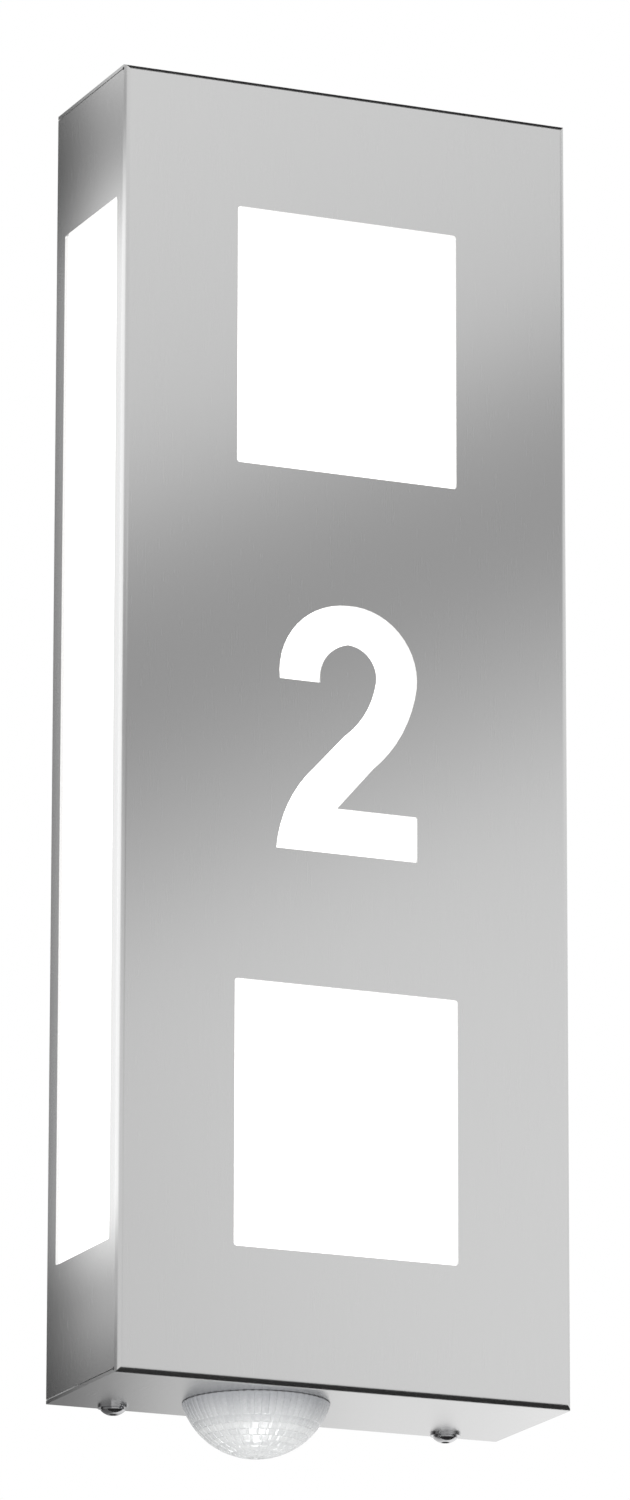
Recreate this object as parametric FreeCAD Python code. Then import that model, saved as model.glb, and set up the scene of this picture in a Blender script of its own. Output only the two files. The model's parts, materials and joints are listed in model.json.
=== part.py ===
import FreeCAD, Part
import math
import os

from FreeCAD import Vector

# Lit house-number wall light with a motion sensor, in millimetres.
# X runs across the front, Y runs into the wall and Z is up.
# The origin is the middle of the four wall slots, on the wall's face.

# The folded cover that the eye sees
cover_width = 160.0
cover_height = 440.0
cover_depth = 60.0
cover_sheet = 1.2
cover_bend = 1.0
wall_gap = 1.0
seam_gap = 0.3
seam_relief = 0.6
overrun = 1.0

# Cut-outs in the cover's front and sides
window_margin = 44.4
window_height = 88.4
front_window_width = 79.0
side_window_front = 6.8
side_window_width = 46.0
window_corner = 1.0
numeral_width = 50.2
numeral_height = 84.6
numeral_rise = 0.1

# The figure 2, in shares of its width from the middle and of its height from the foot
numeral_start_share = (-0.500, 0.000)
numeral_stroke_shares = (
    ((0.500, 0.000),),
    ((0.500, 0.181),),
    ((-0.070, 0.181),),
    ((0.189, 0.357),),
    ((0.390, 0.506), (0.497, 0.697)),
    ((0.357, 0.924), (0.004, 1.000)),
    ((-0.359, 0.901), (-0.478, 0.678)),
    ((-0.191, 0.678),),
    ((-0.149, 0.783), (0.008, 0.842)),
    ((0.165, 0.794), (0.206, 0.703)),
    ((0.125, 0.570), (-0.016, 0.475)),
    ((-0.237, 0.333),),
    ((-0.410, 0.191), (-0.500, 0.000)),
)

# Opal panes behind the cut-outs, held on welded studs
pane_thickness = 3.0
pane_end_gap = 28.8
pane_corner = 2.0
pane_side_gap = 0.6
side_pane_front_gap = 1.4
side_pane_rear_gap = 3.4
stud_radius = 1.5
stud_length = 6.5
stud_hole_fit = 0.4
stud_end_inset = 7.0
front_stud_inset = 11.2
side_stud_inset = 10.0
push_nut_radius = 4.5
push_nut_sheet = 0.5
push_nut_rise = 0.7
thread_fit = 0.05

# The plate on the wall
plate_side_gap = 10.0
plate_sheet = 1.5
plate_bend = 1.5
plate_end_gap = 10.8
plate_flange = 9.0
plate_flange_end = 16.0
wall_slot_from_side = 24.0
wall_slot_from_end = 70.0
wall_slot_width = 6.0
wall_slot_length = 12.0

# Tongues that carry the cover's top, and the straps that slide over them
tongue_from_side = 35.0
tongue_width = 20.0
tongue_length = 20.0
tongue_corner = 3.0
tongue_fit = 0.3
strap_sheet = 1.0
strap_foot = 8.0
strap_length = 8.0
strap_from_wall = 10.0

# Screws under the cover and the slotted tabs that they clamp
cover_screw_from_side = 21.0
cover_screw_from_rear = 6.0
cover_screw_radius = 2.5
cover_screw_hole_fit = 0.3
screw_head_radius = 4.75
screw_head_height = 2.75
screw_head_rim_share = 0.25
screw_socket_width = 3.0
screw_socket_depth = 1.6
screw_washer_radius = 5.0
screw_washer_thickness = 0.8
screw_tip = 1.5
cover_nut_width = 8.0
cover_nut_height = 4.0
tab_width = 20.0
tab_length = 16.0

# Rubber grommet for the mains cable, in a raised ring of the plate
cable_x = -20.0
cable_radius = 4.5
boss_radius = 15.0
boss_rise = 2.0
grommet_hole_radius = 9.5
grommet_hole_fit = 0.2
grommet_flange_radius = 12.5
grommet_flange = 1.5
grommet_nose_root = 8.0
grommet_nose_tip = 6.0
grommet_nose_length = 6.0

# Lamp holders on their brackets
lamp_from_wall = 29.0
bracket_from_end = 46.0
bracket_width = 30.0
bracket_leg = 22.0
bracket_length = 44.0
bracket_sheet = 1.5
bracket_bend = 1.5
bracket_corner = 6.0
rivet_spacing = 16.0
rivet_from_end = 8.0
rivet_radius = 1.6
rivet_fit = 0.05
rivet_head_radius = 3.2
rivet_head = 1.2
nipple_radius = 5.0
nipple_fit = 0.3
nipple_tip = 1.5
nipple_nut_width = 14.0
nipple_nut_height = 3.0
holder_length = 50.0
holder_shoulder = 11.0
holder_dome = 9.0
holder_body_radius = 17.5
holder_skirt_start = 21.0
holder_skirt_step = 1.0
holder_skirt_radius = 19.5
holder_lip = 4.0
holder_bore = 14.3
holder_bore_depth = 36.0
shell_radius = 14.0
shell_wall = 0.6
shell_length = 24.0
shell_inset = 4.0
contact_sheet = 0.6
contact_offset = 7.0
contact_foot = 4.0
contact_width = 5.0
contact_reach = 9.8
contact_tongue = 9.0

# Screw-in lamps
lamp_cap_radius = 13.1
lamp_cap_wall = 0.6
lamp_cap_length = 24.0
lamp_cap_gap = 1.0
lamp_plug_gap = 0.1
lamp_contact_radius = 4.6
lamp_contact_height = 3.0
lamp_contact_rim = 0.6
lamp_body_root = 13.8
lamp_body_length = 20.0
lamp_flare_share = 0.62
lamp_globe_radius = 22.5
lamp_reach = 53.0
lamp_globe_wall = 1.2
lamp_lip = 1.5

# Terminal block for the mains cores
terminal_pole = 9.0
terminal_poles = 4
terminal_end_wall = 0.5
terminal_depth = 18.0
terminal_height = 24.0
terminal_groove = 1.5
terminal_groove_depth = 5.0
terminal_bore = 3.0
clamp_length = 10.0
clamp_wall = 0.7
clamp_gap = 0.1
terminal_screw_radius = 1.6
terminal_screw_z = 3.0
terminal_screw_slot = 0.5
terminal_screw_slot_depth = 0.8
terminal_screw_sink = 2.0
terminal_well_fit = 0.4
fixing_radius = 1.5
fixing_fit = 0.2
fixing_head_radius = 2.8
fixing_head = 2.0
fixing_sink = 4.0

# Leads inside the light
lead_from_plate = 5.0
lead_from_bracket = 13.5
lamp_lead_radius = 2.4
sensor_lead_radius = 2.5
earth_lead_radius = 1.4
lead_fit = 0.15
lead_insertion = 4.0
lamp_lead_top = 18.0
lead_bend = 8.0
earth_bend = 3.5
clip_width = 10.0
clip_height = 6.0
clip_wall = 1.4
clip_spacing = 55.0

# Earth stud, nut and ring lug
earth_drop = 34.0
earth_stud_radius = 2.0
earth_stud_length = 8.5
earth_nut_width = 7.0
earth_nut_height = 3.2
earth_washer_radius = 4.4
earth_washer = 0.8
lug_sheet = 0.8
lug_ring_radius = 4.0
lug_hole_fit = 0.2
lug_tongue_width = 4.0
lug_barrel_radius = 2.0
lug_barrel_length = 7.0
lug_barrel_gap = 7.0

# Motion sensor under the cover
sensor_from_side = 62.0
sensor_from_front = 32.0
lens_radius = 25.3
lens_rise = 7.5
lens_wall = 1.1
lens_rim_gap = 0.15
lens_seat = 0.9
lens_seat_width = 1.0
seal_thickness = 0.8
collar_radius = 21.8
collar_thickness = 1.5
neck_radius = 19.6
neck_hole_fit = 0.4
neck_height = 14.8
neck_bore = 17.6
neck_eye = 16.2
ring_nut_radius = 24.5
ring_nut_height = 5.0
ring_nut_notches = 6
ring_nut_notch = 4.0
ring_nut_notch_depth = 2.0
board_thickness = 1.6
board_fit = 0.2
board_rise = 9.8
element_radius = 4.6
element_height = 4.2
element_flange = 0.7
element_flange_height = 1.0
lid_radius = 21.2
lid_fit = 0.2
lid_height = 14.0
lid_lap = 4.0
lid_top = 2.0
lid_edge = 1.5
lead_drop = 6.0
lead_boss_radius = 4.2
lead_boss_length = 5.0
dial_radius = 4.2
dial_height = 2.5
dial_spacing = 16.0
dial_shaft_radius = 1.5
dial_slot = 1.0
dial_slot_depth = 1.2
dial_edge = 0.4
dial_slot_share = 0.75
sensor_lead_bend_share = 0.9

# Plug and socket between the sensor on the cover and the plate
plug_width = 16.0
plug_height = 10.0
plug_length = 10.0
plug_nose_width = 12.0
plug_nose_height = 7.0
plug_nose_length = 6.2
plug_fit = 0.3
plug_corner = 1.0
socket_width = 18.0
socket_height = 15.0
socket_depth = 9.8
socket_cavity_depth = 6.8
socket_lead_insertion = 3.0
pin_radius = 0.7
pin_pitch = 4.0
pin_count = 3
pin_length = 4.5
pin_fit = 0.25

# Levels and planes that the sizes above give
half_width = cover_width / 2
half_height = cover_height / 2
front_y = -(wall_gap + cover_depth)
rear_y = -wall_gap
inner_x = half_width - cover_sheet
inner_y = front_y + cover_sheet
inner_z = half_height - cover_sheet
plate_y = -plate_sheet
lead_y = plate_y - lead_from_plate
lamp_y = -lamp_from_wall
sensor_x = sensor_from_side - half_width
sensor_y = front_y + sensor_from_front
cover_screw_x = half_width - cover_screw_from_side
cover_screw_y = rear_y - cover_screw_from_rear
neck_top_z = -half_height - seal_thickness + neck_height
lid_base_z = neck_top_z - lid_lap
lid_top_z = lid_base_z + lid_height
sensor_lead_z = lid_top_z - lead_drop
pane_half_height = half_height - pane_end_gap
stud_z = pane_half_height - stud_end_inset
side_pane_x = inner_x - pane_thickness
front_pane_half_width = side_pane_x - pane_side_gap
side_pane_front_y = inner_y + side_pane_front_gap
side_pane_rear_y = rear_y - side_pane_rear_gap
plate_half_width = half_width - plate_side_gap
wall_slot_x = half_width - wall_slot_from_side
wall_slot_z = half_height - wall_slot_from_end
tongue_x = half_width - tongue_from_side
bracket_z = half_height - bracket_from_end
shell_end = holder_length - shell_inset
shell_start = shell_end - shell_length
lamp_cap_end = holder_length + lamp_cap_gap
lamp_cap_start = lamp_cap_end - lamp_cap_length
lamp_contact_start = lamp_cap_start - lamp_contact_height
lamp_body_end = lamp_cap_end + lamp_body_length
lamp_length = lamp_cap_end + lamp_reach
lamp_lead_x = bracket_width / 2 + lead_from_bracket
terminal_x = lamp_lead_x + terminal_pole / 2
earth_x = terminal_x - (terminal_poles - 1) * terminal_pole / 2
plug_x = terminal_x + (terminal_poles - 1) * terminal_pole / 2

along_x = Vector(1, 0, 0)
along_y = Vector(0, 1, 0)
along_z = Vector(0, 0, 1)


def block(low, high):
    size = Vector(*high) - Vector(*low)
    return Part.makeBox(size.x, size.y, size.z, Vector(*low))


def rod(radius, start, end):
    span = end - start
    return Part.makeCylinder(radius, span.Length, start, span)


def bore(radius, start, end):
    """A rod that passes both ends by the overrun, to cut a through hole."""
    past = (end - start).normalize() * overrun
    return rod(radius, start - past, end + past)


def tube(outer, inner, start, end):
    return rod(outer, start, end).cut(bore(inner, start, end))


def straight_edges(shape, direction):
    return [edge for edge in shape.Edges
            if isinstance(edge.Curve, Part.Line)
            and abs(abs(edge.tangentAt(edge.FirstParameter).dot(direction)) - 1) < 1e-6]


def round_along(shape, radius, direction):
    return shape.makeFillet(radius, straight_edges(shape, direction))


def edges_in_plane(shape, axis, level):
    """The edges whose ends both lie at one level along an axis."""
    return [edge for edge in shape.Edges
            if all(abs(vertex.Point[axis] - level) < 1e-6 for vertex in edge.Vertexes)]


def outline(start, strokes, place):
    """A closed wire of lines, one point each, and arcs, a middle point and an end."""
    here = place(*start)
    edges = []
    for stroke in strokes:
        there = place(*stroke[-1])
        if len(stroke) == 1:
            edges.append(Part.LineSegment(here, there).toShape())
        else:
            edges.append(Part.Arc(here, place(*stroke[0]), there).toShape())
        here = there
    return Part.Wire(edges)


def polygon(points, place):
    corners = [place(*point) for point in points]
    return Part.makePolygon(corners + [corners[0]])


def face_along(shape, base, direction):
    """Turns a shape made along Z to a direction, and sets it on its base."""
    shape.Placement = FreeCAD.Placement(base, FreeCAD.Rotation(along_z, direction))
    return shape


def turned(wire, base, direction):
    """A solid of revolution from an outline of radius and height."""
    solid = Part.Face(wire).revolve(Vector(0, 0, 0), along_z, 360)
    return face_along(solid, base, direction)


def section(radius, height):
    return Vector(radius, 0, height)


def prism(width, start, end):
    """A hexagonal bar, measured across its flats."""
    span = end - start
    reach = width / 2 / math.cos(math.pi / 6)
    corners = [(reach * math.cos(math.radians(60 * side)), reach * math.sin(math.radians(60 * side)))
               for side in range(6)]
    face = Part.Face(polygon(corners, lambda x, y: Vector(x, y, 0)))
    return face_along(face.extrude(along_z * span.Length), start, span)


def hex_nut(width, radius, start, end):
    """A nut with its corners turned off at both faces."""
    body = prism(width, start, end)
    height = (end - start).Length
    crown = width / 2 / math.cos(math.pi / 6)
    drop = crown - width / 2
    profile = polygon([(0, 0), (width / 2, 0), (crown, drop), (crown, height - drop),
                       (width / 2, height), (0, height)], section)
    return body.common(turned(profile, start, end - start)).cut(bore(radius, start, end))


def bent_angle(upright, arm, sheet, bend, width):
    """An angle of bent sheet: back face on y = 0, arm forward along its underside z = 0."""
    outer = bend + sheet
    turn_share = 1 - math.sqrt(0.5)
    profile = outline(
        (0, upright),
        (((0, outer),),
         ((-outer * turn_share, outer * turn_share), (-outer, 0)),
         ((-arm, 0),),
         ((-arm, sheet),),
         ((-outer, sheet),),
         ((-sheet - bend * turn_share, sheet + bend * turn_share), (-sheet, outer)),
         ((-sheet, upright),),
         ((0, upright),)),
        lambda y, z: Vector(-width / 2, y, z))
    return Part.Face(profile).extrude(along_x * width)


def dome_middle(radius, height):
    """Halfway up a ball-shaped dome, as a radius and a height over its foot."""
    ball = (radius ** 2 + height ** 2) / (2 * height)
    half_turn = math.asin(radius / ball) / 2
    return ball * math.sin(half_turn), height - ball * (1 - math.cos(half_turn))


def flipped(shape):
    """The same shape upside down, mirrored in the level of the origin."""
    return shape.mirror(Vector(0, 0, 0), along_z)


def both_sides(shape):
    return [shape.mirror(Vector(0, 0, 0), along_x), shape]


def moved(shape, x, y, z):
    copy = shape.copy()
    copy.translate(Vector(x, y, z))
    return copy


def lead(points, bend, radius):
    """A round lead along straight runs joined by tangent arcs."""
    edges = []
    here = points[0]
    for before, corner, after in zip(points, points[1:], points[2:]):
        arriving = (corner - before).normalize()
        leaving = (after - corner).normalize()
        turn = arriving.getAngle(leaving)
        reach = bend * math.tan(turn / 2)
        inward = (leaving - arriving).normalize()
        arc_start = corner - arriving * reach
        arc_end = corner + leaving * reach
        middle = corner + inward * (bend / math.cos(turn / 2) - bend)
        edges.append(Part.LineSegment(here, arc_start).toShape())
        edges.append(Part.Arc(arc_start, middle, arc_end).toShape())
        here = arc_end
    edges.append(Part.LineSegment(here, points[-1]).toShape())
    profile = Part.Wire(Part.Circle(points[0], points[1] - points[0], radius).toShape())
    return Part.Wire(edges).makePipeShell([profile], True, False)


# The cover, its panes and what is welded to it

def window_block(low, high, direction):
    return round_along(block(low, high), window_corner, direction)


def window_cuts():
    outer_end = half_height - window_margin
    inner_end = outer_end - window_height
    half_window = front_window_width / 2
    upper = window_block((-half_window, front_y - overrun, inner_end),
                         (half_window, inner_y + overrun, outer_end), along_y)
    side_front = front_y + side_window_front
    side = window_block((inner_x - overrun, side_front, -outer_end),
                        (half_width + overrun, side_front + side_window_width, outer_end), along_x)
    return [upper, flipped(upper)] + both_sides(side)


def numeral_cut():
    def place(across, up):
        return Vector(across * numeral_width, front_y - overrun,
                      (up - 0.5) * numeral_height + numeral_rise)
    face = Part.Face(outline(numeral_start_share, numeral_stroke_shares, place))
    return face.extrude(along_y * (cover_sheet + 2 * overrun))


def seam_cuts():
    """The slits where a side flange ends against the top or bottom flange."""
    slit_start = front_y + cover_sheet + cover_bend
    slit = block((inner_x - overrun, slit_start, inner_z - seam_gap),
                 (half_width + overrun, rear_y + overrun, inner_z))
    relief_z = inner_z - seam_gap / 2
    relief = rod(seam_relief, Vector(inner_x - overrun, slit_start, relief_z),
                 Vector(half_width + overrun, slit_start, relief_z))
    corner = slit.fuse(relief)
    return both_sides(corner) + both_sides(flipped(corner))


def cover_shell():
    outer = block((-half_width, front_y, -half_height), (half_width, rear_y, half_height))
    outer = outer.makeFillet(cover_bend + cover_sheet, edges_in_plane(outer, 1, front_y))
    inner = block((-inner_x, inner_y, -inner_z), (inner_x, rear_y + overrun, inner_z))
    inner = inner.makeFillet(cover_bend, edges_in_plane(inner, 1, inner_y))
    sensor_hole = bore(neck_radius + neck_hole_fit, Vector(sensor_x, sensor_y, -half_height),
                       Vector(sensor_x, sensor_y, -inner_z))
    screw_hole = bore(cover_screw_radius + cover_screw_hole_fit,
                      Vector(cover_screw_x, cover_screw_y, -half_height),
                      Vector(cover_screw_x, cover_screw_y, -inner_z))
    cuts = window_cuts() + [numeral_cut()] + seam_cuts() + [sensor_hole] + both_sides(screw_hole)
    return outer.cut(inner).cut(cuts)


def front_stud_places():
    side = front_pane_half_width - front_stud_inset
    return [Vector(x, inner_y, z) for x in (-side, side) for z in (-stud_z, 0, stud_z)]


def side_stud_places(side):
    """Four places on one side wall, side being 1 for the right and -1 for the left."""
    depths = (side_pane_front_y + side_stud_inset, side_pane_rear_y - side_stud_inset)
    return [Vector(side * inner_x, y, z) for y in depths for z in (-stud_z, stud_z)]


def stud_places():
    """Every stud's foot, with the way that it points."""
    places = [(foot, along_y) for foot in front_stud_places()]
    for side in (-1, 1):
        places += [(foot, along_x * -side) for foot in side_stud_places(side)]
    return places


def weld_studs():
    return [rod(stud_radius, foot, foot + way * stud_length) for foot, way in stud_places()]


def push_nuts():
    """Dished clips pressed down each stud on to the pane."""
    hole = stud_radius + thread_fit
    profile = polygon([(push_nut_radius, 0), (push_nut_radius, push_nut_sheet),
                       (hole, push_nut_sheet + push_nut_rise), (hole, push_nut_rise)], section)
    return [turned(profile, foot + way * pane_thickness, way) for foot, way in stud_places()]


def front_diffuser():
    pane = block((-front_pane_half_width, inner_y, -pane_half_height),
                 (front_pane_half_width, inner_y + pane_thickness, pane_half_height))
    holes = [bore(stud_radius + stud_hole_fit, foot, foot + along_y * pane_thickness)
             for foot in front_stud_places()]
    return round_along(pane, pane_corner, along_y).cut(holes)


def side_diffuser(side):
    xs = sorted((side * inner_x, side * side_pane_x))
    pane = block((xs[0], side_pane_front_y, -pane_half_height),
                 (xs[1], side_pane_rear_y, pane_half_height))
    holes = [bore(stud_radius + stud_hole_fit, foot, foot - along_x * side * pane_thickness)
             for foot in side_stud_places(side)]
    return round_along(pane, pane_corner, along_x).cut(holes)


def catch_straps():
    """Hat-shaped straps under the cover's top that slide over the plate's tongues."""
    slot_half = tongue_width / 2 + tongue_fit
    leg_half = slot_half + strap_sheet
    slot_z = inner_z - plate_sheet - 2 * tongue_fit
    bridge_z = slot_z - strap_sheet
    far_y = rear_y - strap_from_wall - strap_length
    near_y = rear_y - strap_from_wall
    hat = block((-leg_half, far_y, bridge_z), (leg_half, near_y, inner_z))
    feet = block((-leg_half - strap_foot, far_y, inner_z - strap_sheet),
                 (leg_half + strap_foot, near_y, inner_z))
    slot = block((-slot_half, far_y - overrun, slot_z), (slot_half, near_y + overrun, inner_z + overrun))
    strap = hat.fuse(feet).removeSplitter().cut(slot)
    return both_sides(moved(strap, tongue_x, 0, 0))


# The wall plate

def slot_hole(x, z):
    """A slot along X, with round ends."""
    radius = wall_slot_width / 2
    run = (wall_slot_length - wall_slot_width) / 2
    slot = block((x - run, plate_y - overrun, z - radius), (x + run, overrun, z + radius))
    for end in (x - run, x + run):
        slot = slot.fuse(bore(radius, Vector(end, plate_y, z), Vector(end, 0, z)))
    return slot.removeSplitter()


def screw_tab():
    """A tab welded to the plate's edge, slotted towards the front, that the cover is clamped to."""
    low_z = -inner_z
    tab = bent_angle(plate_end_gap, tab_length, plate_sheet, plate_bend, tab_width)
    half = cover_screw_radius + cover_screw_hole_fit
    slot = block((cover_screw_x - half, -tab_length - overrun, low_z - overrun),
                 (cover_screw_x + half, cover_screw_y + half, low_z + plate_sheet + overrun))
    return moved(tab, cover_screw_x, 0, low_z).cut(slot)


def top_tongue():
    """A tongue bent forward off the plate's top edge."""
    top_z = inner_z - tongue_fit
    tongue = bent_angle(plate_end_gap + plate_bend, tongue_length, plate_sheet, plate_bend, tongue_width)
    tongue = tongue.makeFillet(tongue_corner, [edge for edge in straight_edges(tongue, along_z)
                                               if abs(edge.Vertexes[0].Y + tongue_length) < plate_bend])
    return moved(flipped(tongue), tongue_x, 0, top_z)


def wall_plate():
    half = plate_half_width
    top = inner_z - plate_end_gap
    flange_top = top - plate_flange_end
    outer_bend = plate_bend + plate_sheet
    tray = block((-half, -plate_flange, -flange_top), (half, 0, flange_top))
    tray = tray.makeFillet(outer_bend, [edge for edge in straight_edges(tray, along_z)
                                        if abs(edge.Vertexes[0].Y) < plate_bend])
    hollow = block((plate_sheet - half, -plate_flange - overrun, -flange_top - overrun),
                   (half - plate_sheet, plate_y, flange_top + overrun))
    hollow = hollow.makeFillet(plate_bend, [edge for edge in straight_edges(hollow, along_z)
                                            if abs(edge.Vertexes[0].Y - plate_y) < plate_bend])
    sheet = block((outer_bend - half, plate_y, -top), (half - outer_bend, 0, top))
    cable = Vector(cable_x, 0, 0)
    boss = rod(boss_radius, cable + along_y * (plate_y - boss_rise), cable)
    dish = rod(boss_radius - plate_sheet, cable - along_y * boss_rise, cable + along_y * overrun)
    hole = bore(grommet_hole_radius, cable + along_y * (plate_y - boss_rise), cable)
    plate = tray.cut(hollow).fuse([sheet, boss] + both_sides(top_tongue()))
    slots = [slot_hole(x, z) for x in (-wall_slot_x, wall_slot_x) for z in (-wall_slot_z, wall_slot_z)]
    rivet_holes = [bore(rivet_radius + rivet_fit, place, place + along_y * plate_sheet)
                   for place in rivet_places(plate_y)]
    return plate.removeSplitter().cut([dish, hole] + slots + rivet_holes + [terminal_fixing_hole()])


def cable_grommet():
    """A rubber grommet with a lip each side of the raised ring and a tapered nose."""
    back = boss_rise - grommet_flange
    sheet_face = boss_rise
    front = boss_rise + plate_sheet
    lip = front + grommet_flange
    groove = grommet_hole_radius - grommet_hole_fit
    profile = polygon([(cable_radius, back), (grommet_flange_radius, back),
                       (grommet_flange_radius, sheet_face), (groove, sheet_face), (groove, front),
                       (grommet_flange_radius, front), (grommet_nose_root + grommet_flange, lip),
                       (grommet_nose_root, lip), (grommet_nose_tip, lip + grommet_nose_length),
                       (cable_radius, lip + grommet_nose_length)], section)
    return turned(profile, Vector(cable_x, 0, 0), along_y * -1)


# Lamp brackets, holders and lamps, each drawn for the upper place

def rivet_places(y):
    level = bracket_z + bracket_leg - rivet_from_end
    return [Vector(x * rivet_spacing / 2, y, z * level) for x in (-1, 1) for z in (-1, 1)]


def lamp_bracket():
    angle = bent_angle(bracket_leg, bracket_length, bracket_sheet, bracket_bend, bracket_width)
    angle = angle.makeFillet(bracket_corner, [edge for edge in straight_edges(angle, along_z)
                                              if abs(edge.Vertexes[0].Y + bracket_length) < bracket_sheet])
    angle = moved(angle, 0, plate_y, bracket_z)
    base = Vector(0, lamp_y, bracket_z)
    holes = [bore(nipple_radius + nipple_fit, base, base + along_z * bracket_sheet)]
    for place in rivet_places(plate_y - bracket_sheet):
        if place.z > 0:
            holes.append(bore(rivet_radius + rivet_fit, place, place + along_y * bracket_sheet))
    return angle.cut(holes)


def bracket_rivets():
    """Domed rivets through bracket and plate, flush with the plate's back."""
    face_y = plate_y - bracket_sheet
    middle_radius, middle_height = dome_middle(rivet_head_radius, rivet_head)
    dome = outline((0, -rivet_head), (((0, -face_y),), ((rivet_radius, -face_y),), ((rivet_radius, 0),),
                                      ((rivet_head_radius, 0),),
                                      ((middle_radius, -middle_height), (0, -rivet_head))), section)
    return [turned(dome, place, along_y) for place in rivet_places(face_y)]


def lamp_base():
    """The middle of the holder's shoulder, from which holder and lamp are measured."""
    return Vector(0, lamp_y, bracket_z)


def lampholder():
    lead_hole = lamp_lead_radius + lead_fit
    neck = bracket_sheet + nipple_nut_height + nipple_tip
    dome_share = math.sqrt(0.5)
    profile = outline(
        (lead_hole, -neck),
        (((nipple_radius, -neck),),
         ((nipple_radius, 0),),
         ((holder_shoulder, 0),),
         ((holder_shoulder + (holder_body_radius - holder_shoulder) * dome_share,
           holder_dome * (1 - dome_share)), (holder_body_radius, holder_dome)),
         ((holder_body_radius, holder_skirt_start - holder_skirt_step),),
         ((holder_body_radius + holder_skirt_step, holder_skirt_start),),
         ((holder_skirt_radius, holder_length - holder_lip),),
         ((holder_skirt_radius, holder_length),),
         ((holder_bore, holder_length),),
         ((holder_bore, holder_length - holder_bore_depth),),
         ((lead_hole, holder_length - holder_bore_depth),),
         ((lead_hole, -neck),)), section)
    return turned(profile, lamp_base(), along_z * -1)


def screw_shell():
    base = lamp_base()
    return tube(shell_radius, shell_radius - shell_wall, base - along_z * shell_end,
                base - along_z * shell_start)


def centre_contact():
    """A bent spring strip, footed beside the lead's hole, that meets the lamp's tip."""
    floor = holder_length - holder_bore_depth
    reach = floor + contact_reach
    back = contact_offset
    strip = polygon([(back - contact_foot, floor), (back, floor), (back, reach),
                     (back - contact_tongue, reach), (back - contact_tongue, reach - contact_sheet),
                     (back - contact_sheet, reach - contact_sheet),
                     (back - contact_sheet, floor + contact_sheet),
                     (back - contact_foot, floor + contact_sheet)],
                    lambda y, height: Vector(-contact_width / 2, lamp_y + y, bracket_z - height))
    return Part.Face(strip).extrude(along_x * contact_width)


def holder_nut():
    start = lamp_base() + along_z * bracket_sheet
    return hex_nut(nipple_nut_width, nipple_radius + thread_fit, start,
                   start + along_z * nipple_nut_height)


def lamp_cap():
    inner = lamp_cap_radius - lamp_cap_wall
    base = lamp_base()
    return tube(lamp_cap_radius, inner, base - along_z * lamp_cap_end, base - along_z * lamp_cap_start)


def lamp_contact():
    """The insulating cone that closes the cap, with the contact at its tip."""
    rim = lamp_cap_radius - lamp_cap_wall
    tip = lamp_contact_start
    profile = polygon([(0, tip), (lamp_contact_radius, tip), (lamp_contact_radius, tip + lamp_contact_rim),
                       (rim, lamp_cap_start), (0, lamp_cap_start)], section)
    return turned(profile, lamp_base(), along_z * -1)


def lamp_body():
    """The white housing between the cap and the globe."""
    spigot = lamp_cap_radius - lamp_cap_wall - lamp_plug_gap
    centre = lamp_length - lamp_globe_radius
    rim = math.sqrt(lamp_globe_radius ** 2 - (centre - lamp_body_end) ** 2)
    lip = rim - lamp_globe_wall * 2
    profile = outline(
        (0, lamp_cap_start),
        (((spigot, lamp_cap_start),),
         ((spigot, lamp_cap_end),),
         ((lamp_body_root, lamp_cap_end),),
         ((lamp_body_root + (rim - lamp_body_root) * lamp_flare_share,
           (lamp_cap_end + lamp_body_end) / 2), (rim, lamp_body_end)),
         ((lip, lamp_body_end),),
         ((lip, lamp_body_end + lamp_lip),),
         ((0, lamp_body_end + lamp_lip),),
         ((0, lamp_cap_start),)), section)
    return turned(profile, lamp_base(), along_z * -1)


def lamp_globe():
    """An opal ball, open where it sits on the housing."""
    centre = lamp_length - lamp_globe_radius
    inner = lamp_globe_radius - lamp_globe_wall
    below = centre - lamp_body_end
    outer_rim = math.sqrt(lamp_globe_radius ** 2 - below ** 2)
    inner_rim = math.sqrt(inner ** 2 - below ** 2)
    profile = outline(
        (outer_rim, lamp_body_end),
        (((lamp_globe_radius, centre), (0, lamp_length)),
         ((0, lamp_length - lamp_globe_wall),),
         ((inner, centre), (inner_rim, lamp_body_end)),
         ((outer_rim, lamp_body_end),)), section)
    return turned(profile, lamp_base(), along_z * -1)


def lamp_lead():
    """The lead from the terminal block up and over into the holder's neck."""
    top = bracket_z + lamp_lead_top
    start = Vector(lamp_lead_x, lead_y, terminal_height / 2 - lead_insertion)
    return lead([start, Vector(lamp_lead_x, lead_y, top), Vector(0, lamp_y, top),
                 Vector(0, lamp_y, bracket_z)], lead_bend, lamp_lead_radius)


# Terminal block, earth stud and clips on the plate

def pole_places():
    first = terminal_x - (terminal_poles - 1) * terminal_pole / 2
    return [first + pole * terminal_pole for pole in range(terminal_poles)]


def terminal_screw_places():
    front = plate_y - terminal_depth
    return [Vector(x, front, z) for x in pole_places() for z in (-terminal_screw_z, terminal_screw_z)]


def terminal_fixing_hole():
    return bore(fixing_radius + fixing_fit, Vector(terminal_x, plate_y - terminal_depth, 0),
                Vector(terminal_x, 0, 0))


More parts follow.
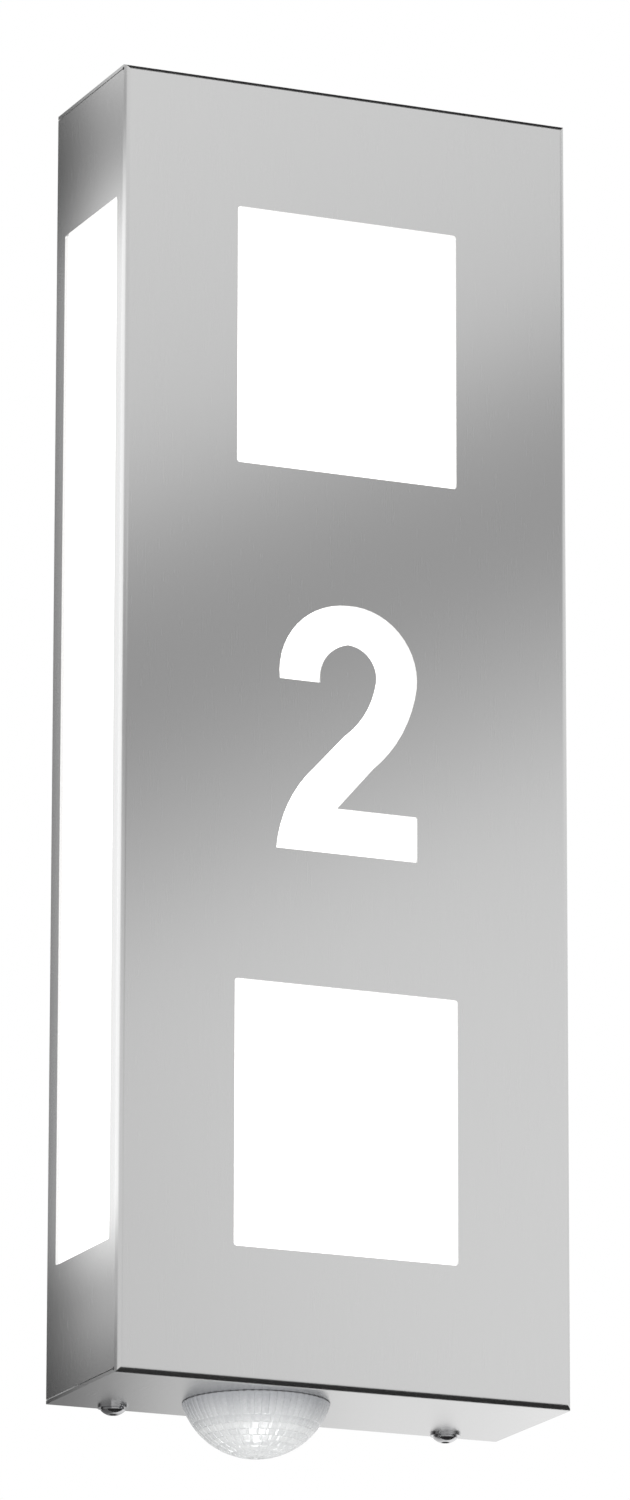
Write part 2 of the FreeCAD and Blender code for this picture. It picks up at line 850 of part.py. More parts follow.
def terminal_block():
    half = terminal_poles * terminal_pole / 2 + terminal_end_wall
    front = plate_y - terminal_depth
    half_tall = terminal_height / 2
    body = block((terminal_x - half, front, -half_tall), (terminal_x + half, plate_y, half_tall))
    cuts = [terminal_fixing_hole()]
    for x in pole_places():
        cuts.append(bore(terminal_bore, Vector(x, lead_y, -half_tall), Vector(x, lead_y, half_tall)))
    for x in pole_places()[:-1]:
        middle = x + terminal_pole / 2
        cuts.append(block((middle - terminal_groove / 2, front - overrun, -half_tall - overrun),
                          (middle + terminal_groove / 2, front + terminal_groove_depth,
                           half_tall + overrun)))
    for place in terminal_screw_places():
        cuts.append(rod(terminal_screw_radius + terminal_well_fit, place - along_y * overrun,
                        Vector(place.x, lead_y, place.z)))
    head = Vector(terminal_x, front, 0)
    cuts.append(rod(fixing_head_radius + fixing_fit, head - along_y * overrun,
                    head + along_y * (terminal_groove_depth + fixing_sink)))
    return body.cut(cuts)


def terminal_clamps():
    """Brass tubes that join the two ends of each pole, tapped for the screws."""
    outer = terminal_bore - clamp_gap
    clamps = []
    for x in pole_places():
        low = Vector(x, lead_y, -clamp_length / 2)
        high = Vector(x, lead_y, clamp_length / 2)
        clamp = tube(outer, outer - clamp_wall, low, high)
        for z in (-terminal_screw_z, terminal_screw_z):
            clamp = clamp.cut(rod(terminal_screw_radius + thread_fit,
                                  Vector(x, lead_y - terminal_bore - overrun, z), Vector(x, lead_y, z)))
        clamps.append(clamp)
    return clamps


def slotted_screw(radius, face, end, slot, slot_depth):
    """A plain screw along Y with a driving slot in its outer end."""
    reach = radius + overrun
    cut = block((face.x - reach, face.y - overrun, face.z - slot / 2),
                (face.x + reach, face.y + slot_depth, face.z + slot / 2))
    return rod(radius, face, end).cut(cut)


def terminal_screws():
    screws = []
    for place in terminal_screw_places():
        face = place + along_y * terminal_screw_sink
        end = Vector(place.x, lead_y - terminal_bore + clamp_wall + clamp_gap, place.z)
        screws.append(slotted_screw(terminal_screw_radius, face, end,
                                    terminal_screw_slot, terminal_screw_slot_depth))
    return screws


def terminal_block_screw():
    """The screw that holds the terminal block to the plate."""
    seat = Vector(terminal_x, plate_y - terminal_depth + terminal_groove_depth + fixing_sink, 0)
    head = slotted_screw(fixing_head_radius, seat - along_y * fixing_head, seat,
                         terminal_screw_slot, terminal_screw_slot_depth)
    return head.fuse(rod(fixing_radius, seat, Vector(terminal_x, 0, 0))).removeSplitter()


def earth_centre(y):
    return Vector(earth_x, y, -earth_drop)


def earth_stud():
    return rod(earth_stud_radius, earth_centre(plate_y), earth_centre(plate_y - earth_stud_length))


def earth_nut():
    """The nut with its washer, clamping the ring lug."""
    washer_y = plate_y - lug_sheet
    nut_y = washer_y - earth_washer
    hole = earth_stud_radius + thread_fit
    washer = tube(earth_washer_radius, hole, earth_centre(washer_y), earth_centre(nut_y))
    nut = hex_nut(earth_nut_width, hole, earth_centre(nut_y), earth_centre(nut_y - earth_nut_height))
    return [washer, nut]


def lug_barrel_ends():
    y = plate_y - lug_barrel_radius
    low = -earth_drop + lug_barrel_gap
    return Vector(earth_x, y, low), Vector(earth_x, y, low + lug_barrel_length)


def earth_lug():
    low, high = lug_barrel_ends()
    ring = rod(lug_ring_radius, earth_centre(plate_y), earth_centre(plate_y - lug_sheet))
    tongue = block((earth_x - lug_tongue_width / 2, plate_y - lug_sheet, -earth_drop),
                   (earth_x + lug_tongue_width / 2, plate_y, low.z + lug_sheet))
    barrel = rod(lug_barrel_radius, low, high)
    hole = bore(earth_stud_radius + lug_hole_fit, earth_centre(plate_y), earth_centre(plate_y - lug_sheet))
    socket = rod(earth_lead_radius + lead_fit, low + along_z * lug_sheet, high + along_z * overrun)
    return ring.fuse([tongue, barrel]).removeSplitter().cut([hole, socket])


def earth_lead():
    low, high = lug_barrel_ends()
    start = Vector(earth_x, lead_y, -terminal_height / 2 + lead_insertion)
    step = (-terminal_height / 2 + high.z) / 2
    return lead([start, Vector(earth_x, lead_y, step + earth_bend / 2),
                 Vector(earth_x, low.y, step - earth_bend / 2), low + along_z * lug_sheet * 2],
                earth_bend, earth_lead_radius)


def socket_lead():
    start = Vector(plug_x, lead_y, -terminal_height / 2 + lead_insertion)
    end = Vector(plug_x, lead_y, sensor_lead_z + socket_height / 2 - socket_lead_insertion)
    return rod(sensor_lead_radius, start, end)


def lead_clip(x, z, radius):
    """A saddle clip that holds a straight lead off the plate."""
    half = clip_height / 2
    outer = radius + clip_wall
    foot = block((x - clip_width / 2, plate_y - clip_wall, z - half), (x + clip_width / 2, plate_y, z + half))
    stem = block((x - outer, lead_y, z - half), (x + outer, plate_y, z + half))
    loop = rod(outer, Vector(x, lead_y, z - half), Vector(x, lead_y, z + half))
    hole = bore(radius + lead_fit, Vector(x, lead_y, z - half), Vector(x, lead_y, z + half))
    return foot.fuse([stem, loop]).removeSplitter().cut(hole)


def lead_clips():
    clips = []
    for step in (1, 2):
        clips.append(lead_clip(lamp_lead_x, step * clip_spacing, lamp_lead_radius))
        clips.append(lead_clip(lamp_lead_x, -step * clip_spacing, lamp_lead_radius))
        clips.append(lead_clip(plug_x, -step * clip_spacing, sensor_lead_radius))
    return clips


# Screws, washers and nuts under the cover

def cover_screw():
    """A domed screw with a six-sided socket, drawn for the right side."""
    seat = Vector(cover_screw_x, cover_screw_y, -half_height - screw_washer_thickness)
    tip_z = -inner_z + plate_sheet + cover_nut_height + screw_tip
    rim = screw_head_height * screw_head_rim_share
    middle_radius, middle_height = dome_middle(screw_head_radius, screw_head_height - rim)
    head = turned(outline(
        (0, 0),
        (((screw_head_radius, 0),),
         ((screw_head_radius, rim),),
         ((middle_radius, rim + middle_height), (0, screw_head_height)),
         ((0, 0),)), section), seat, along_z * -1)
    face = seat - along_z * screw_head_height
    key = prism(screw_socket_width, face - along_z * overrun, face + along_z * screw_socket_depth)
    shank = rod(cover_screw_radius, seat, Vector(seat.x, seat.y, tip_z))
    return head.fuse(shank).removeSplitter().cut(key)


def screw_washer():
    top = Vector(cover_screw_x, cover_screw_y, -half_height)
    return tube(screw_washer_radius, cover_screw_radius + cover_screw_hole_fit,
                top - along_z * screw_washer_thickness, top)


def cover_nut():
    low = Vector(cover_screw_x, cover_screw_y, -inner_z + plate_sheet)
    return hex_nut(cover_nut_width, cover_screw_radius + thread_fit, low, low + along_z * cover_nut_height)


# The motion sensor

def sensor_point(z, x=0.0):
    return Vector(sensor_x + x, sensor_y, z)


def ball_radius_at(radius, z):
    """The lens ball's radius at a level."""
    return math.sqrt(radius ** 2 - (z + half_height - lens_rise) ** 2)


def sensor_lens():
    """The domed lens: part of a ball, with a seat inside that grips the collar."""
    centre = -half_height + lens_rise
    inner = lens_radius - lens_wall
    rim_z = -half_height - lens_rim_gap
    seat_z = -half_height - seal_thickness - collar_thickness
    seat_r = collar_radius - lens_seat_width
    bottom_out = centre - lens_radius
    bottom_in = centre - inner
    slope_share = math.sqrt(0.5)
    profile = outline(
        (0, bottom_out),
        (((lens_radius * slope_share, centre - lens_radius * slope_share),
          (ball_radius_at(lens_radius, rim_z), rim_z)),
         ((ball_radius_at(inner, rim_z), rim_z),),
         ((ball_radius_at(inner, (rim_z + seat_z) / 2), (rim_z + seat_z) / 2),
          (ball_radius_at(inner, seat_z), seat_z)),
         ((seat_r, seat_z),),
         ((seat_r, seat_z - lens_seat),),
         ((ball_radius_at(inner, seat_z - lens_seat), seat_z - lens_seat),),
         ((inner * slope_share, centre - inner * slope_share), (0, bottom_in)),
         ((0, bottom_out),)), section)
    return turned(profile, Vector(sensor_x, sensor_y, 0), along_z)


def sensor_seal():
    top = sensor_point(-half_height)
    return tube(collar_radius, neck_radius + neck_hole_fit, top - along_z * seal_thickness, top)


def sensor_housing():
    """The neck that passes through the cover, with its collar and a ledge for the board."""
    collar_z = -half_height - seal_thickness
    base_z = collar_z - collar_thickness
    ledge_z = collar_z + board_rise
    profile = polygon([(neck_eye, base_z), (collar_radius, base_z), (collar_radius, collar_z),
                       (neck_radius, collar_z), (neck_radius, neck_top_z), (neck_bore, neck_top_z),
                       (neck_bore, ledge_z), (neck_eye, ledge_z)], section)
    return turned(profile, Vector(sensor_x, sensor_y, 0), along_z)


def board_z():
    return -half_height - seal_thickness + board_rise


def sensor_board():
    low = sensor_point(board_z())
    return rod(neck_bore - board_fit, low, low + along_z * board_thickness)


def sensor_element():
    """The metal can that looks down through the lens."""
    top = sensor_point(board_z())
    flange = rod(element_radius + element_flange, top, top - along_z * element_flange_height)
    return rod(element_radius, top, top - along_z * element_height).fuse(flange).removeSplitter()


def sensor_ring_nut():
    low = sensor_point(-inner_z)
    high = low + along_z * ring_nut_height
    nut = tube(ring_nut_radius, neck_radius + thread_fit, low, high)
    notch = block((ring_nut_radius - ring_nut_notch_depth, -ring_nut_notch / 2, low.z - overrun),
                  (ring_nut_radius + overrun, ring_nut_notch / 2, high.z + overrun))
    notches = []
    for index in range(ring_nut_notches):
        turned_notch = notch.copy()
        turned_notch.rotate(Vector(0, 0, 0), along_z, (index + 0.5) * 360 / ring_nut_notches)
        turned_notch.translate(Vector(sensor_x, sensor_y, 0))
        notches.append(turned_notch)
    return nut.cut(notches)


def lead_outlet(distance):
    """A point on the lead's line out of the sensor's side."""
    return sensor_point(sensor_lead_z, distance)


def sensor_lid():
    """The cap over the neck, with the lead's outlet at its side and two dial holes."""
    inner = neck_radius + lid_fit
    profile = polygon([(inner, lid_base_z), (lid_radius, lid_base_z), (lid_radius, lid_top_z - lid_edge),
                       (lid_radius - lid_edge, lid_top_z), (0, lid_top_z),
                       (0, lid_top_z - lid_top), (inner, lid_top_z - lid_top)], section)
    lid = turned(profile, Vector(sensor_x, sensor_y, 0), along_z)
    boss = rod(lead_boss_radius, lead_outlet(inner + lid_fit), lead_outlet(lid_radius + lead_boss_length))
    hole = rod(sensor_lead_radius + lead_fit, lead_outlet(neck_bore - lead_insertion),
               lead_outlet(lid_radius + lead_boss_length + overrun))
    shafts = [bore(dial_shaft_radius + thread_fit, place - along_z * lid_top, place)
              for place in (dial_place(-1), dial_place(1))]
    return lid.fuse(boss).removeSplitter().cut([hole] + shafts)


def dial_place(side):
    return sensor_point(lid_top_z, side * dial_spacing / 2)


def sensor_dial(side):
    """A setting dial with a screwdriver slot, turning on a short shaft in the lid."""
    place = dial_place(side)
    top = place + along_z * dial_height
    knob = rod(dial_radius, place, top)
    knob = knob.makeChamfer(dial_edge, edges_in_plane(knob, 2, top.z))
    slot = block((place.x - dial_radius * dial_slot_share, place.y - dial_slot / 2, top.z - dial_slot_depth),
                 (place.x + dial_radius * dial_slot_share, place.y + dial_slot / 2, top.z + overrun))
    shaft = rod(dial_shaft_radius, place - along_z * lid_top, place)
    return knob.fuse(shaft).removeSplitter().cut(slot)


def plug_front_y():
    return plate_y - socket_depth


def sensor_lead():
    """The short lead from the sensor's side to the plug."""
    plug_end = plug_front_y() - plug_length
    return lead([lead_outlet(neck_bore), Vector(plug_x, sensor_y, sensor_lead_z),
                 Vector(plug_x, plug_end + lead_insertion, sensor_lead_z)],
                (plug_end - sensor_y) * sensor_lead_bend_share, sensor_lead_radius)


def pin_places():
    first = plug_x - (pin_count - 1) * pin_pitch / 2
    return [first + pin * pin_pitch for pin in range(pin_count)]


def sensor_plug():
    face = plug_front_y()
    rear = face - plug_length
    tip = face + plug_nose_length
    body = block((plug_x - plug_width / 2, rear, sensor_lead_z - plug_height / 2),
                 (plug_x + plug_width / 2, face, sensor_lead_z + plug_height / 2))
    body = round_along(body, plug_corner, along_y)
    nose = block((plug_x - plug_nose_width / 2, face, sensor_lead_z - plug_nose_height / 2),
                 (plug_x + plug_nose_width / 2, tip, sensor_lead_z + plug_nose_height / 2))
    entry = rod(sensor_lead_radius + lead_fit, Vector(plug_x, rear - overrun, sensor_lead_z),
                Vector(plug_x, rear + lead_insertion, sensor_lead_z))
    sockets = [rod(pin_radius + pin_fit, Vector(x, face, sensor_lead_z),
                   Vector(x, tip + overrun, sensor_lead_z)) for x in pin_places()]
    return body.fuse(nose).removeSplitter().cut([entry] + sockets)


def sensor_socket():
    front = plug_front_y()
    half = socket_height / 2
    body = block((plug_x - socket_width / 2, front, sensor_lead_z - half),
                 (plug_x + socket_width / 2, plate_y, sensor_lead_z + half))
    body = round_along(body, plug_corner, along_y)
    cavity = block((plug_x - plug_nose_width / 2 - plug_fit, front - overrun,
                    sensor_lead_z - plug_nose_height / 2 - plug_fit),
                   (plug_x + plug_nose_width / 2 + plug_fit, front + socket_cavity_depth,
                    sensor_lead_z + plug_nose_height / 2 + plug_fit))
    top = sensor_lead_z + half
    entry = rod(sensor_lead_radius + lead_fit, Vector(plug_x, lead_y, top - socket_lead_insertion),
                Vector(plug_x, lead_y, top + overrun))
    return body.cut([cavity, entry])


def socket_pins():
    root = plug_front_y() + socket_cavity_depth
    return [rod(pin_radius, Vector(x, root - pin_length, sensor_lead_z), Vector(x, root, sensor_lead_z))
            for x in pin_places()]


def build():
    parts = {}
    parts["wall_plate"] = [wall_plate()]
    parts["screw_tabs"] = both_sides(screw_tab())
    parts["cable_grommet"] = [cable_grommet()]
    parts["bracket_rivets"] = bracket_rivets()
    parts["holder_nuts"] = [holder_nut(), flipped(holder_nut())]
    parts["terminal_block"] = [terminal_block()]
    parts["terminal_clamps"] = terminal_clamps()
    parts["terminal_screws"] = terminal_screws()
    parts["terminal_block_screw"] = [terminal_block_screw()]
    parts["earth_stud"] = [earth_stud()]
    parts["earth_nut"] = earth_nut()
    parts["earth_lug"] = [earth_lug()]
    parts["earth_lead"] = [earth_lead()]
    parts["socket_lead"] = [socket_lead()]
    parts["sensor_socket"] = [sensor_socket()]
    parts["socket_pins"] = socket_pins()
    parts["lead_clips"] = lead_clips()
    lamp_pieces = {"lamp_bracket": lamp_bracket, "lampholder": lampholder, "screw_shell": screw_shell,
                   "centre_contact": centre_contact, "lamp_lead": lamp_lead, "lamp_cap": lamp_cap,
                   "lamp_contact": lamp_contact, "lamp_body": lamp_body, "lamp_globe": lamp_globe}
    for name, make in lamp_pieces.items():
        parts[name + "_upper"] = [make()]
        parts[name + "_lower"] = [flipped(make())]
    parts["cover_shell"] = [cover_shell()]
    parts["catch_straps"] = catch_straps()
    parts["front_diffuser"] = [front_diffuser()]
    parts["side_diffuser_left"] = [side_diffuser(-1)]
    parts["side_diffuser_right"] = [side_diffuser(1)]
    parts["weld_studs"] = weld_studs()
    parts["push_nuts"] = push_nuts()
    parts["cover_nuts"] = both_sides(cover_nut())
    parts["screw_washers"] = both_sides(screw_washer())
    left_screw, right_screw = both_sides(cover_screw())
    parts["cover_screw_left"] = [left_screw]
    parts["cover_screw_right"] = [right_screw]
    parts["sensor_lens"] = [sensor_lens()]
    parts["sensor_seal"] = [sensor_seal()]
    parts["sensor_housing"] = [sensor_housing()]
    parts["sensor_ring_nut"] = [sensor_ring_nut()]
    parts["sensor_board"] = [sensor_board()]
    parts["sensor_element"] = [sensor_element()]
    parts["sensor_lid"] = [sensor_lid()]
    parts["sensor_lead"] = [sensor_lead()]
    parts["sensor_plug"] = [sensor_plug()]
    parts["time_dial"] = [sensor_dial(-1)]
    parts["dusk_dial"] = [sensor_dial(1)]
    return parts


os.makedirs("parts", exist_ok=True)
for node, solids in build().items():
    shape = solids[0] if len(solids) == 1 else Part.makeCompound(solids)
    shape.exportStep("parts/" + node + ".step")
    print(node, len(shape.Solids), shape.isValid())
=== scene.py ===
import json
import math

import bmesh
import bpy
from mathutils import Matrix, Vector


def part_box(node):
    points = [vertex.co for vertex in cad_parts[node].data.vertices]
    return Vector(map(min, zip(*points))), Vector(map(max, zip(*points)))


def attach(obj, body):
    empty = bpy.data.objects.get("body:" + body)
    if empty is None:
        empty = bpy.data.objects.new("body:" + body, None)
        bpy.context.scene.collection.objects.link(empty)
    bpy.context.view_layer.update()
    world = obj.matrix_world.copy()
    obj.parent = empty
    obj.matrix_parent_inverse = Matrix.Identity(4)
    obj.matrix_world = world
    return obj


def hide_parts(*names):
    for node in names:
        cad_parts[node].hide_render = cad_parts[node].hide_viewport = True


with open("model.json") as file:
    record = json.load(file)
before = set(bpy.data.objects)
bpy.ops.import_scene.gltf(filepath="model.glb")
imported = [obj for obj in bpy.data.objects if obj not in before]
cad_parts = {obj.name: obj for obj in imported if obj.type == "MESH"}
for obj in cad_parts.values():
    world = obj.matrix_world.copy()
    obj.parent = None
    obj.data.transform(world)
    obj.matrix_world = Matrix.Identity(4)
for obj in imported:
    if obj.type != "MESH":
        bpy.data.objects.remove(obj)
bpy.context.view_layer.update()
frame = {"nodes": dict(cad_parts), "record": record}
cadNodes = frame["nodes"]
mm = 0.001
closePoints = 0.001 * mm    # points nearer to each other than this count as one
bodies = frame["record"]["behaviour"]["bodies"]
bodyOf = {node: body for body, nodes in bodies.items() for node in nodes}
print("frame loaded:", len(cadNodes), "nodes")


# Placing and finishing of new pieces

def middleOf(node):
    low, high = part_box(node)
    return (low + high) / 2


def boxOf(points):
    return (Vector([min(point[axis] for point in points) for axis in range(3)]),
            Vector([max(point[axis] for point in points) for axis in range(3)]))


def solidBoxes(node):
    # the box of each separate solid in a node
    bm = bmesh.new()
    bm.from_mesh(cadNodes[node].data)
    bmesh.ops.remove_doubles(bm, verts=bm.verts, dist=closePoints)
    left, boxes = set(bm.verts), []
    for first in bm.verts:
        if first not in left:
            continue
        left.discard(first)
        reached, frontier = [], [first]
        while frontier:
            vert = frontier.pop()
            reached.append(vert)
            for link in vert.link_edges:
                other = link.other_vert(vert)
                if other in left:
                    left.discard(other)
                    frontier.append(other)
        boxes.append(boxOf([cadNodes[node].matrix_world @ vert.co for vert in reached]))
    bm.free()
    return boxes


def meshFrom(name, bm):
    mesh = bpy.data.meshes.new(name)
    bm.to_mesh(mesh)
    bm.free()
    return mesh


def addObject(name, data):
    added = bpy.data.objects.new(name, data)
    bpy.context.scene.collection.objects.link(added)
    return added


def finishMesh(bm, smoothBelow):
    bmesh.ops.remove_doubles(bm, verts=bm.verts, dist=closePoints)
    bmesh.ops.recalc_face_normals(bm, faces=bm.faces)
    for face in bm.faces:
        face.smooth = True
    for edge in bm.edges:
        edge.smooth = len(edge.link_faces) == 2 and edge.calc_face_angle(0) < smoothBelow


def makePiece(name, bm, body, slotName, replaced=(), smoothBelow=30.0):
    # edges that turn by less than smoothBelow, in degrees, are shaded smooth
    finishMesh(bm, math.radians(smoothBelow))
    piece = addObject(name, meshFrom(name, bm))
    piece.data.materials.append(finishes[slotName])
    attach(piece, body)
    if replaced:
        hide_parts(*replaced)


def moveOver(bm, node, height=0.0):
    # brings a shape that was made round the Z axis to the middle of a node
    place = middleOf(node)
    bmesh.ops.translate(bm, verts=bm.verts, vec=(place.x, place.y, height))


def turnProfile(bm, points, steps, closed=True):
    # points are pairs of radius and height in metres, turned once round the Z axis
    verts = [bm.verts.new((radius, 0, height)) for radius, height in points]
    pairs = list(zip(verts, verts[1:] + verts[:1]))[:len(verts) if closed else len(verts) - 1]
    edges = [bm.edges.new(pair) for pair in pairs if pair[0].co.x or pair[1].co.x]
    bmesh.ops.spin(bm, geom=verts + edges, cent=(0, 0, 0), axis=(0, 0, 1), dvec=(0, 0, 0),
                   angle=math.tau, steps=steps, use_merge=True, use_duplicate=False)


def turnWedge(bm, points, turn, steps):
    # a closed profile turned by less than a full turn, with both ends closed
    verts = [bm.verts.new((radius, 0, height)) for radius, height in points]
    edges = [bm.edges.new(pair) for pair in zip(verts, verts[1:] + verts[:1])]
    made = bmesh.ops.spin(bm, geom=verts + edges, cent=(0, 0, 0), axis=(0, 0, 1), dvec=(0, 0, 0),
                          angle=turn, steps=steps, use_merge=False, use_duplicate=False)
    ends = [item for item in made["geom_last"] if isinstance(item, bmesh.types.BMEdge)]
    bmesh.ops.contextual_create(bm, geom=edges)
    bmesh.ops.contextual_create(bm, geom=ends)


def pullIn(vert, depth):
    # moves a point towards the Z axis
    around = math.hypot(vert.co.x, vert.co.y)
    vert.co.x *= 1 - depth / around
    vert.co.y *= 1 - depth / around


def sharpThread(turns):
    return abs(2 * (turns % 1) - 1)


def roundThread(turns):
    return 0.5 - 0.5 * math.cos(math.tau * turns)


def cutThread(bm, size, low, high, fadeOver, profile):
    # sinks a thread into the turned surface between two heights; it runs out towards both
    radius, pitch, depth = size["radius"] * mm, size["pitch"] * mm, size["threadDepth"] * mm
    for vert in bm.verts:
        around = math.hypot(vert.co.x, vert.co.y)
        if abs(around - radius) > closePoints or not low < vert.co.z < high:
            continue
        fade = min(1.0, (vert.co.z - low) / fadeOver, (high - vert.co.z) / fadeOver)
        turns = vert.co.z / pitch - math.atan2(vert.co.y, vert.co.x) / math.tau
        pullIn(vert, depth * fade * profile(turns))


def evenly(low, high, count):
    return [low + (high - low) * step / count for step in range(count + 1)]


def addBar(bm, size, place, turn):
    # a small block turned round the Z axis, then put in place
    made = bmesh.ops.create_cube(bm, size=1.0)["verts"]
    bmesh.ops.scale(bm, verts=made, vec=size)
    bmesh.ops.rotate(bm, verts=made, cent=(0, 0, 0), matrix=Matrix.Rotation(turn, 3, "Z"))
    bmesh.ops.translate(bm, verts=made, vec=place)


# Shader helpers

def newFinish(name):
    material = bpy.data.materials.new(name)
    material.use_nodes = True
    return material, material.node_tree, material.node_tree.nodes["Principled BSDF"]


def addNode(tree, kind, **values):
    node = tree.nodes.new(kind)
    for key, value in values.items():
        if key in node.inputs:
            node.inputs[key].default_value = value
        else:
            setattr(node, key, value)
    return node


def mathNode(tree, operation, *values, kind="ShaderNodeMath", **settings):
    # each value is a number, a vector or the socket that it comes from
    node = addNode(tree, kind, operation=operation, **settings)
    for socket, value in zip(node.inputs, values):
        if isinstance(value, bpy.types.NodeSocket):
            tree.links.new(value, socket)
        else:
            socket.default_value = value
    return node


def mapRange(tree, source, fromLow, fromHigh, toLow=0.0, toHigh=1.0):
    ranged = addNode(tree, "ShaderNodeMapRange", **{
        "From Min": fromLow, "From Max": fromHigh, "To Min": toLow, "To Max": toHigh})
    tree.links.new(source, ranged.inputs["Value"])
    return ranged.outputs["Result"]


def ofType(sockets, kind):
    return [socket for socket in sockets if socket.type == kind]


def objectPoints(tree, scale):
    place = addNode(tree, "ShaderNodeTexCoord")
    mapping = addNode(tree, "ShaderNodeMapping", Scale=scale)
    tree.links.new(place.outputs["Object"], mapping.inputs["Vector"])
    return mapping.outputs["Vector"]


noiseHabit = {
    "detail": 3.0,
    "roughness": 0.55,
    "usualLow": 0.3,    # a noise mostly stays between these two
    "usualHigh": 0.7,
}


def noiseFrom(tree, scale, detail=noiseHabit["detail"]):
    noise = addNode(tree, "ShaderNodeTexNoise", Scale=1.0, Detail=detail,
                    Roughness=noiseHabit["roughness"])
    tree.links.new(objectPoints(tree, scale), noise.inputs["Vector"])
    return noise.outputs["Fac"]


def spread(tree, source, low, high):
    # turns a noise into a value from low to high
    return mapRange(tree, source, noiseHabit["usualLow"], noiseHabit["usualHigh"], low, high)


def tint(tree, source, dark, light, target):
    mix = addNode(tree, "ShaderNodeMix", data_type="RGBA")
    first, second = ofType(mix.inputs, "RGBA")
    first.default_value = (*dark, 1)
    second.default_value = (*light, 1)
    tree.links.new(source, mix.inputs["Factor"])
    tree.links.new(ofType(mix.outputs, "RGBA")[0], target)


def shade(colour, by):
    return tuple(max(0.0, min(1.0, channel * by)) for channel in colour)


def giveColour(tree, shader, source, colour, contrast):
    tint(tree, spread(tree, source, 0, 1), shade(colour, 1 - contrast), shade(colour, 1 + contrast),
         shader.inputs["Base Color"])


def giveRoughness(tree, shader, source, roughness, change):
    tree.links.new(spread(tree, source, roughness + change, roughness - change),
                   shader.inputs["Roughness"])


def raiseBy(tree, shader, source, depth, strength):
    bump = addNode(tree, "ShaderNodeBump", Strength=strength, Distance=depth)
    tree.links.new(source, bump.inputs["Height"])
    tree.links.new(bump.outputs["Normal"], shader.inputs["Normal"])


# Finishes of the light, one function for each kind of surface. Scales count per metre; depths and
# rises are in millimetres.

steelLook = {
    "colour": (0.6, 0.6, 0.6),
    "roughness": 0.27,
    "roughnessChange": 0.004,
    "stretch": 0.5,         # how far reflections spread across the grain
    "grainAcross": 5200.0,  # streaks per metre across the grain
    "grainAlong": 60.0,
    "grainDepth": 0.0003,
    "grainStrength": 0.25,
    "contrast": 0.009,
    "levelAbove": 0.7,      # faces that look up or down by more than this are the top and bottom
}


def brushedSteel():
    # the grain runs up the front and sides, and from front to back on the top and bottom
    material, tree, shader = newFinish("brushedSteel")
    shader.inputs["Metallic"].default_value = 1.0
    shader.inputs["Anisotropic"].default_value = steelLook["stretch"]
    across, along = steelLook["grainAcross"], steelLook["grainAlong"]
    upright = noiseFrom(tree, (across, across, along))
    level = noiseFrom(tree, (across, along, across))
    place = addNode(tree, "ShaderNodeTexCoord")
    split = addNode(tree, "ShaderNodeSeparateXYZ")
    tree.links.new(place.outputs["Normal"], split.inputs["Vector"])
    tilt = mathNode(tree, "ABSOLUTE", split.outputs["Z"]).outputs[0]
    flat = mathNode(tree, "GREATER_THAN", tilt, steelLook["levelAbove"]).outputs[0]
    grain = addNode(tree, "ShaderNodeMix", data_type="FLOAT")
    tree.links.new(flat, grain.inputs["Factor"])
    tree.links.new(upright, grain.inputs["A"])
    tree.links.new(level, grain.inputs["B"])
    streak = grain.outputs["Result"]
    lengthways = addNode(tree, "ShaderNodeMix", data_type="VECTOR")
    whenUpright, whenLevel = ofType(lengthways.inputs, "VECTOR")[-2:]
    whenUpright.default_value = (0, 0, 1)
    whenLevel.default_value = (0, 1, 0)
    tree.links.new(flat, lengthways.inputs["Factor"])
    sideways = mathNode(tree, "CROSS_PRODUCT", place.outputs["Normal"],
                        ofType(lengthways.outputs, "VECTOR")[0], kind="ShaderNodeVectorMath")
    tree.links.new(sideways.outputs["Vector"], shader.inputs["Tangent"])
    giveColour(tree, shader, streak, steelLook["colour"], steelLook["contrast"])
    giveRoughness(tree, shader, streak, steelLook["roughness"], steelLook["roughnessChange"])
    raiseBy(tree, shader, streak, steelLook["grainDepth"] * mm, steelLook["grainStrength"])
    return material


metalLook = {
    "contrast": 0.05,
    "roughnessChange": 0.05,
    "grainDetail": 4.0,
    "grainDepth": 0.01,
    "grainStrength": 0.2,
}


def plainMetal(name, colour, roughness, grain, contrast=metalLook["contrast"]):
    # turned, drawn or plated metal with a fine grain
    material, tree, shader = newFinish(name)
    shader.inputs["Metallic"].default_value = 1.0
    pattern = noiseFrom(tree, grain, metalLook["grainDetail"])
    giveColour(tree, shader, pattern, colour, contrast)
    giveRoughness(tree, shader, pattern, roughness, metalLook["roughnessChange"])
    raiseBy(tree, shader, pattern, metalLook["grainDepth"] * mm, metalLook["grainStrength"])
    return material


zincLook = {
    "dark": (0.56, 0.57, 0.59),
    "light": (0.66, 0.67, 0.7),
    "crystals": (220, 220, 220),
    "grain": (2500, 2500, 120),
    "roughness": 0.4,
    "roughnessChange": 0.04,
    "grainDepth": 0.006,
    "grainStrength": 0.2,
}


def zincPlate():
    # zinc-plated sheet: faint crystal patches under a fine rolled grain
    material, tree, shader = newFinish("zincPlate")
    shader.inputs["Metallic"].default_value = 1.0
    cells = addNode(tree, "ShaderNodeTexVoronoi", Scale=1.0)
    tree.links.new(objectPoints(tree, zincLook["crystals"]), cells.inputs["Vector"])
    split = addNode(tree, "ShaderNodeSeparateColor")
    tree.links.new(cells.outputs["Color"], split.inputs["Color"])
    tint(tree, split.outputs["Red"], zincLook["dark"], zincLook["light"],
         shader.inputs["Base Color"])
    grain = noiseFrom(tree, zincLook["grain"])
    giveRoughness(tree, shader, grain, zincLook["roughness"], zincLook["roughnessChange"])
    raiseBy(tree, shader, grain, zincLook["grainDepth"] * mm, zincLook["grainStrength"])
    return material


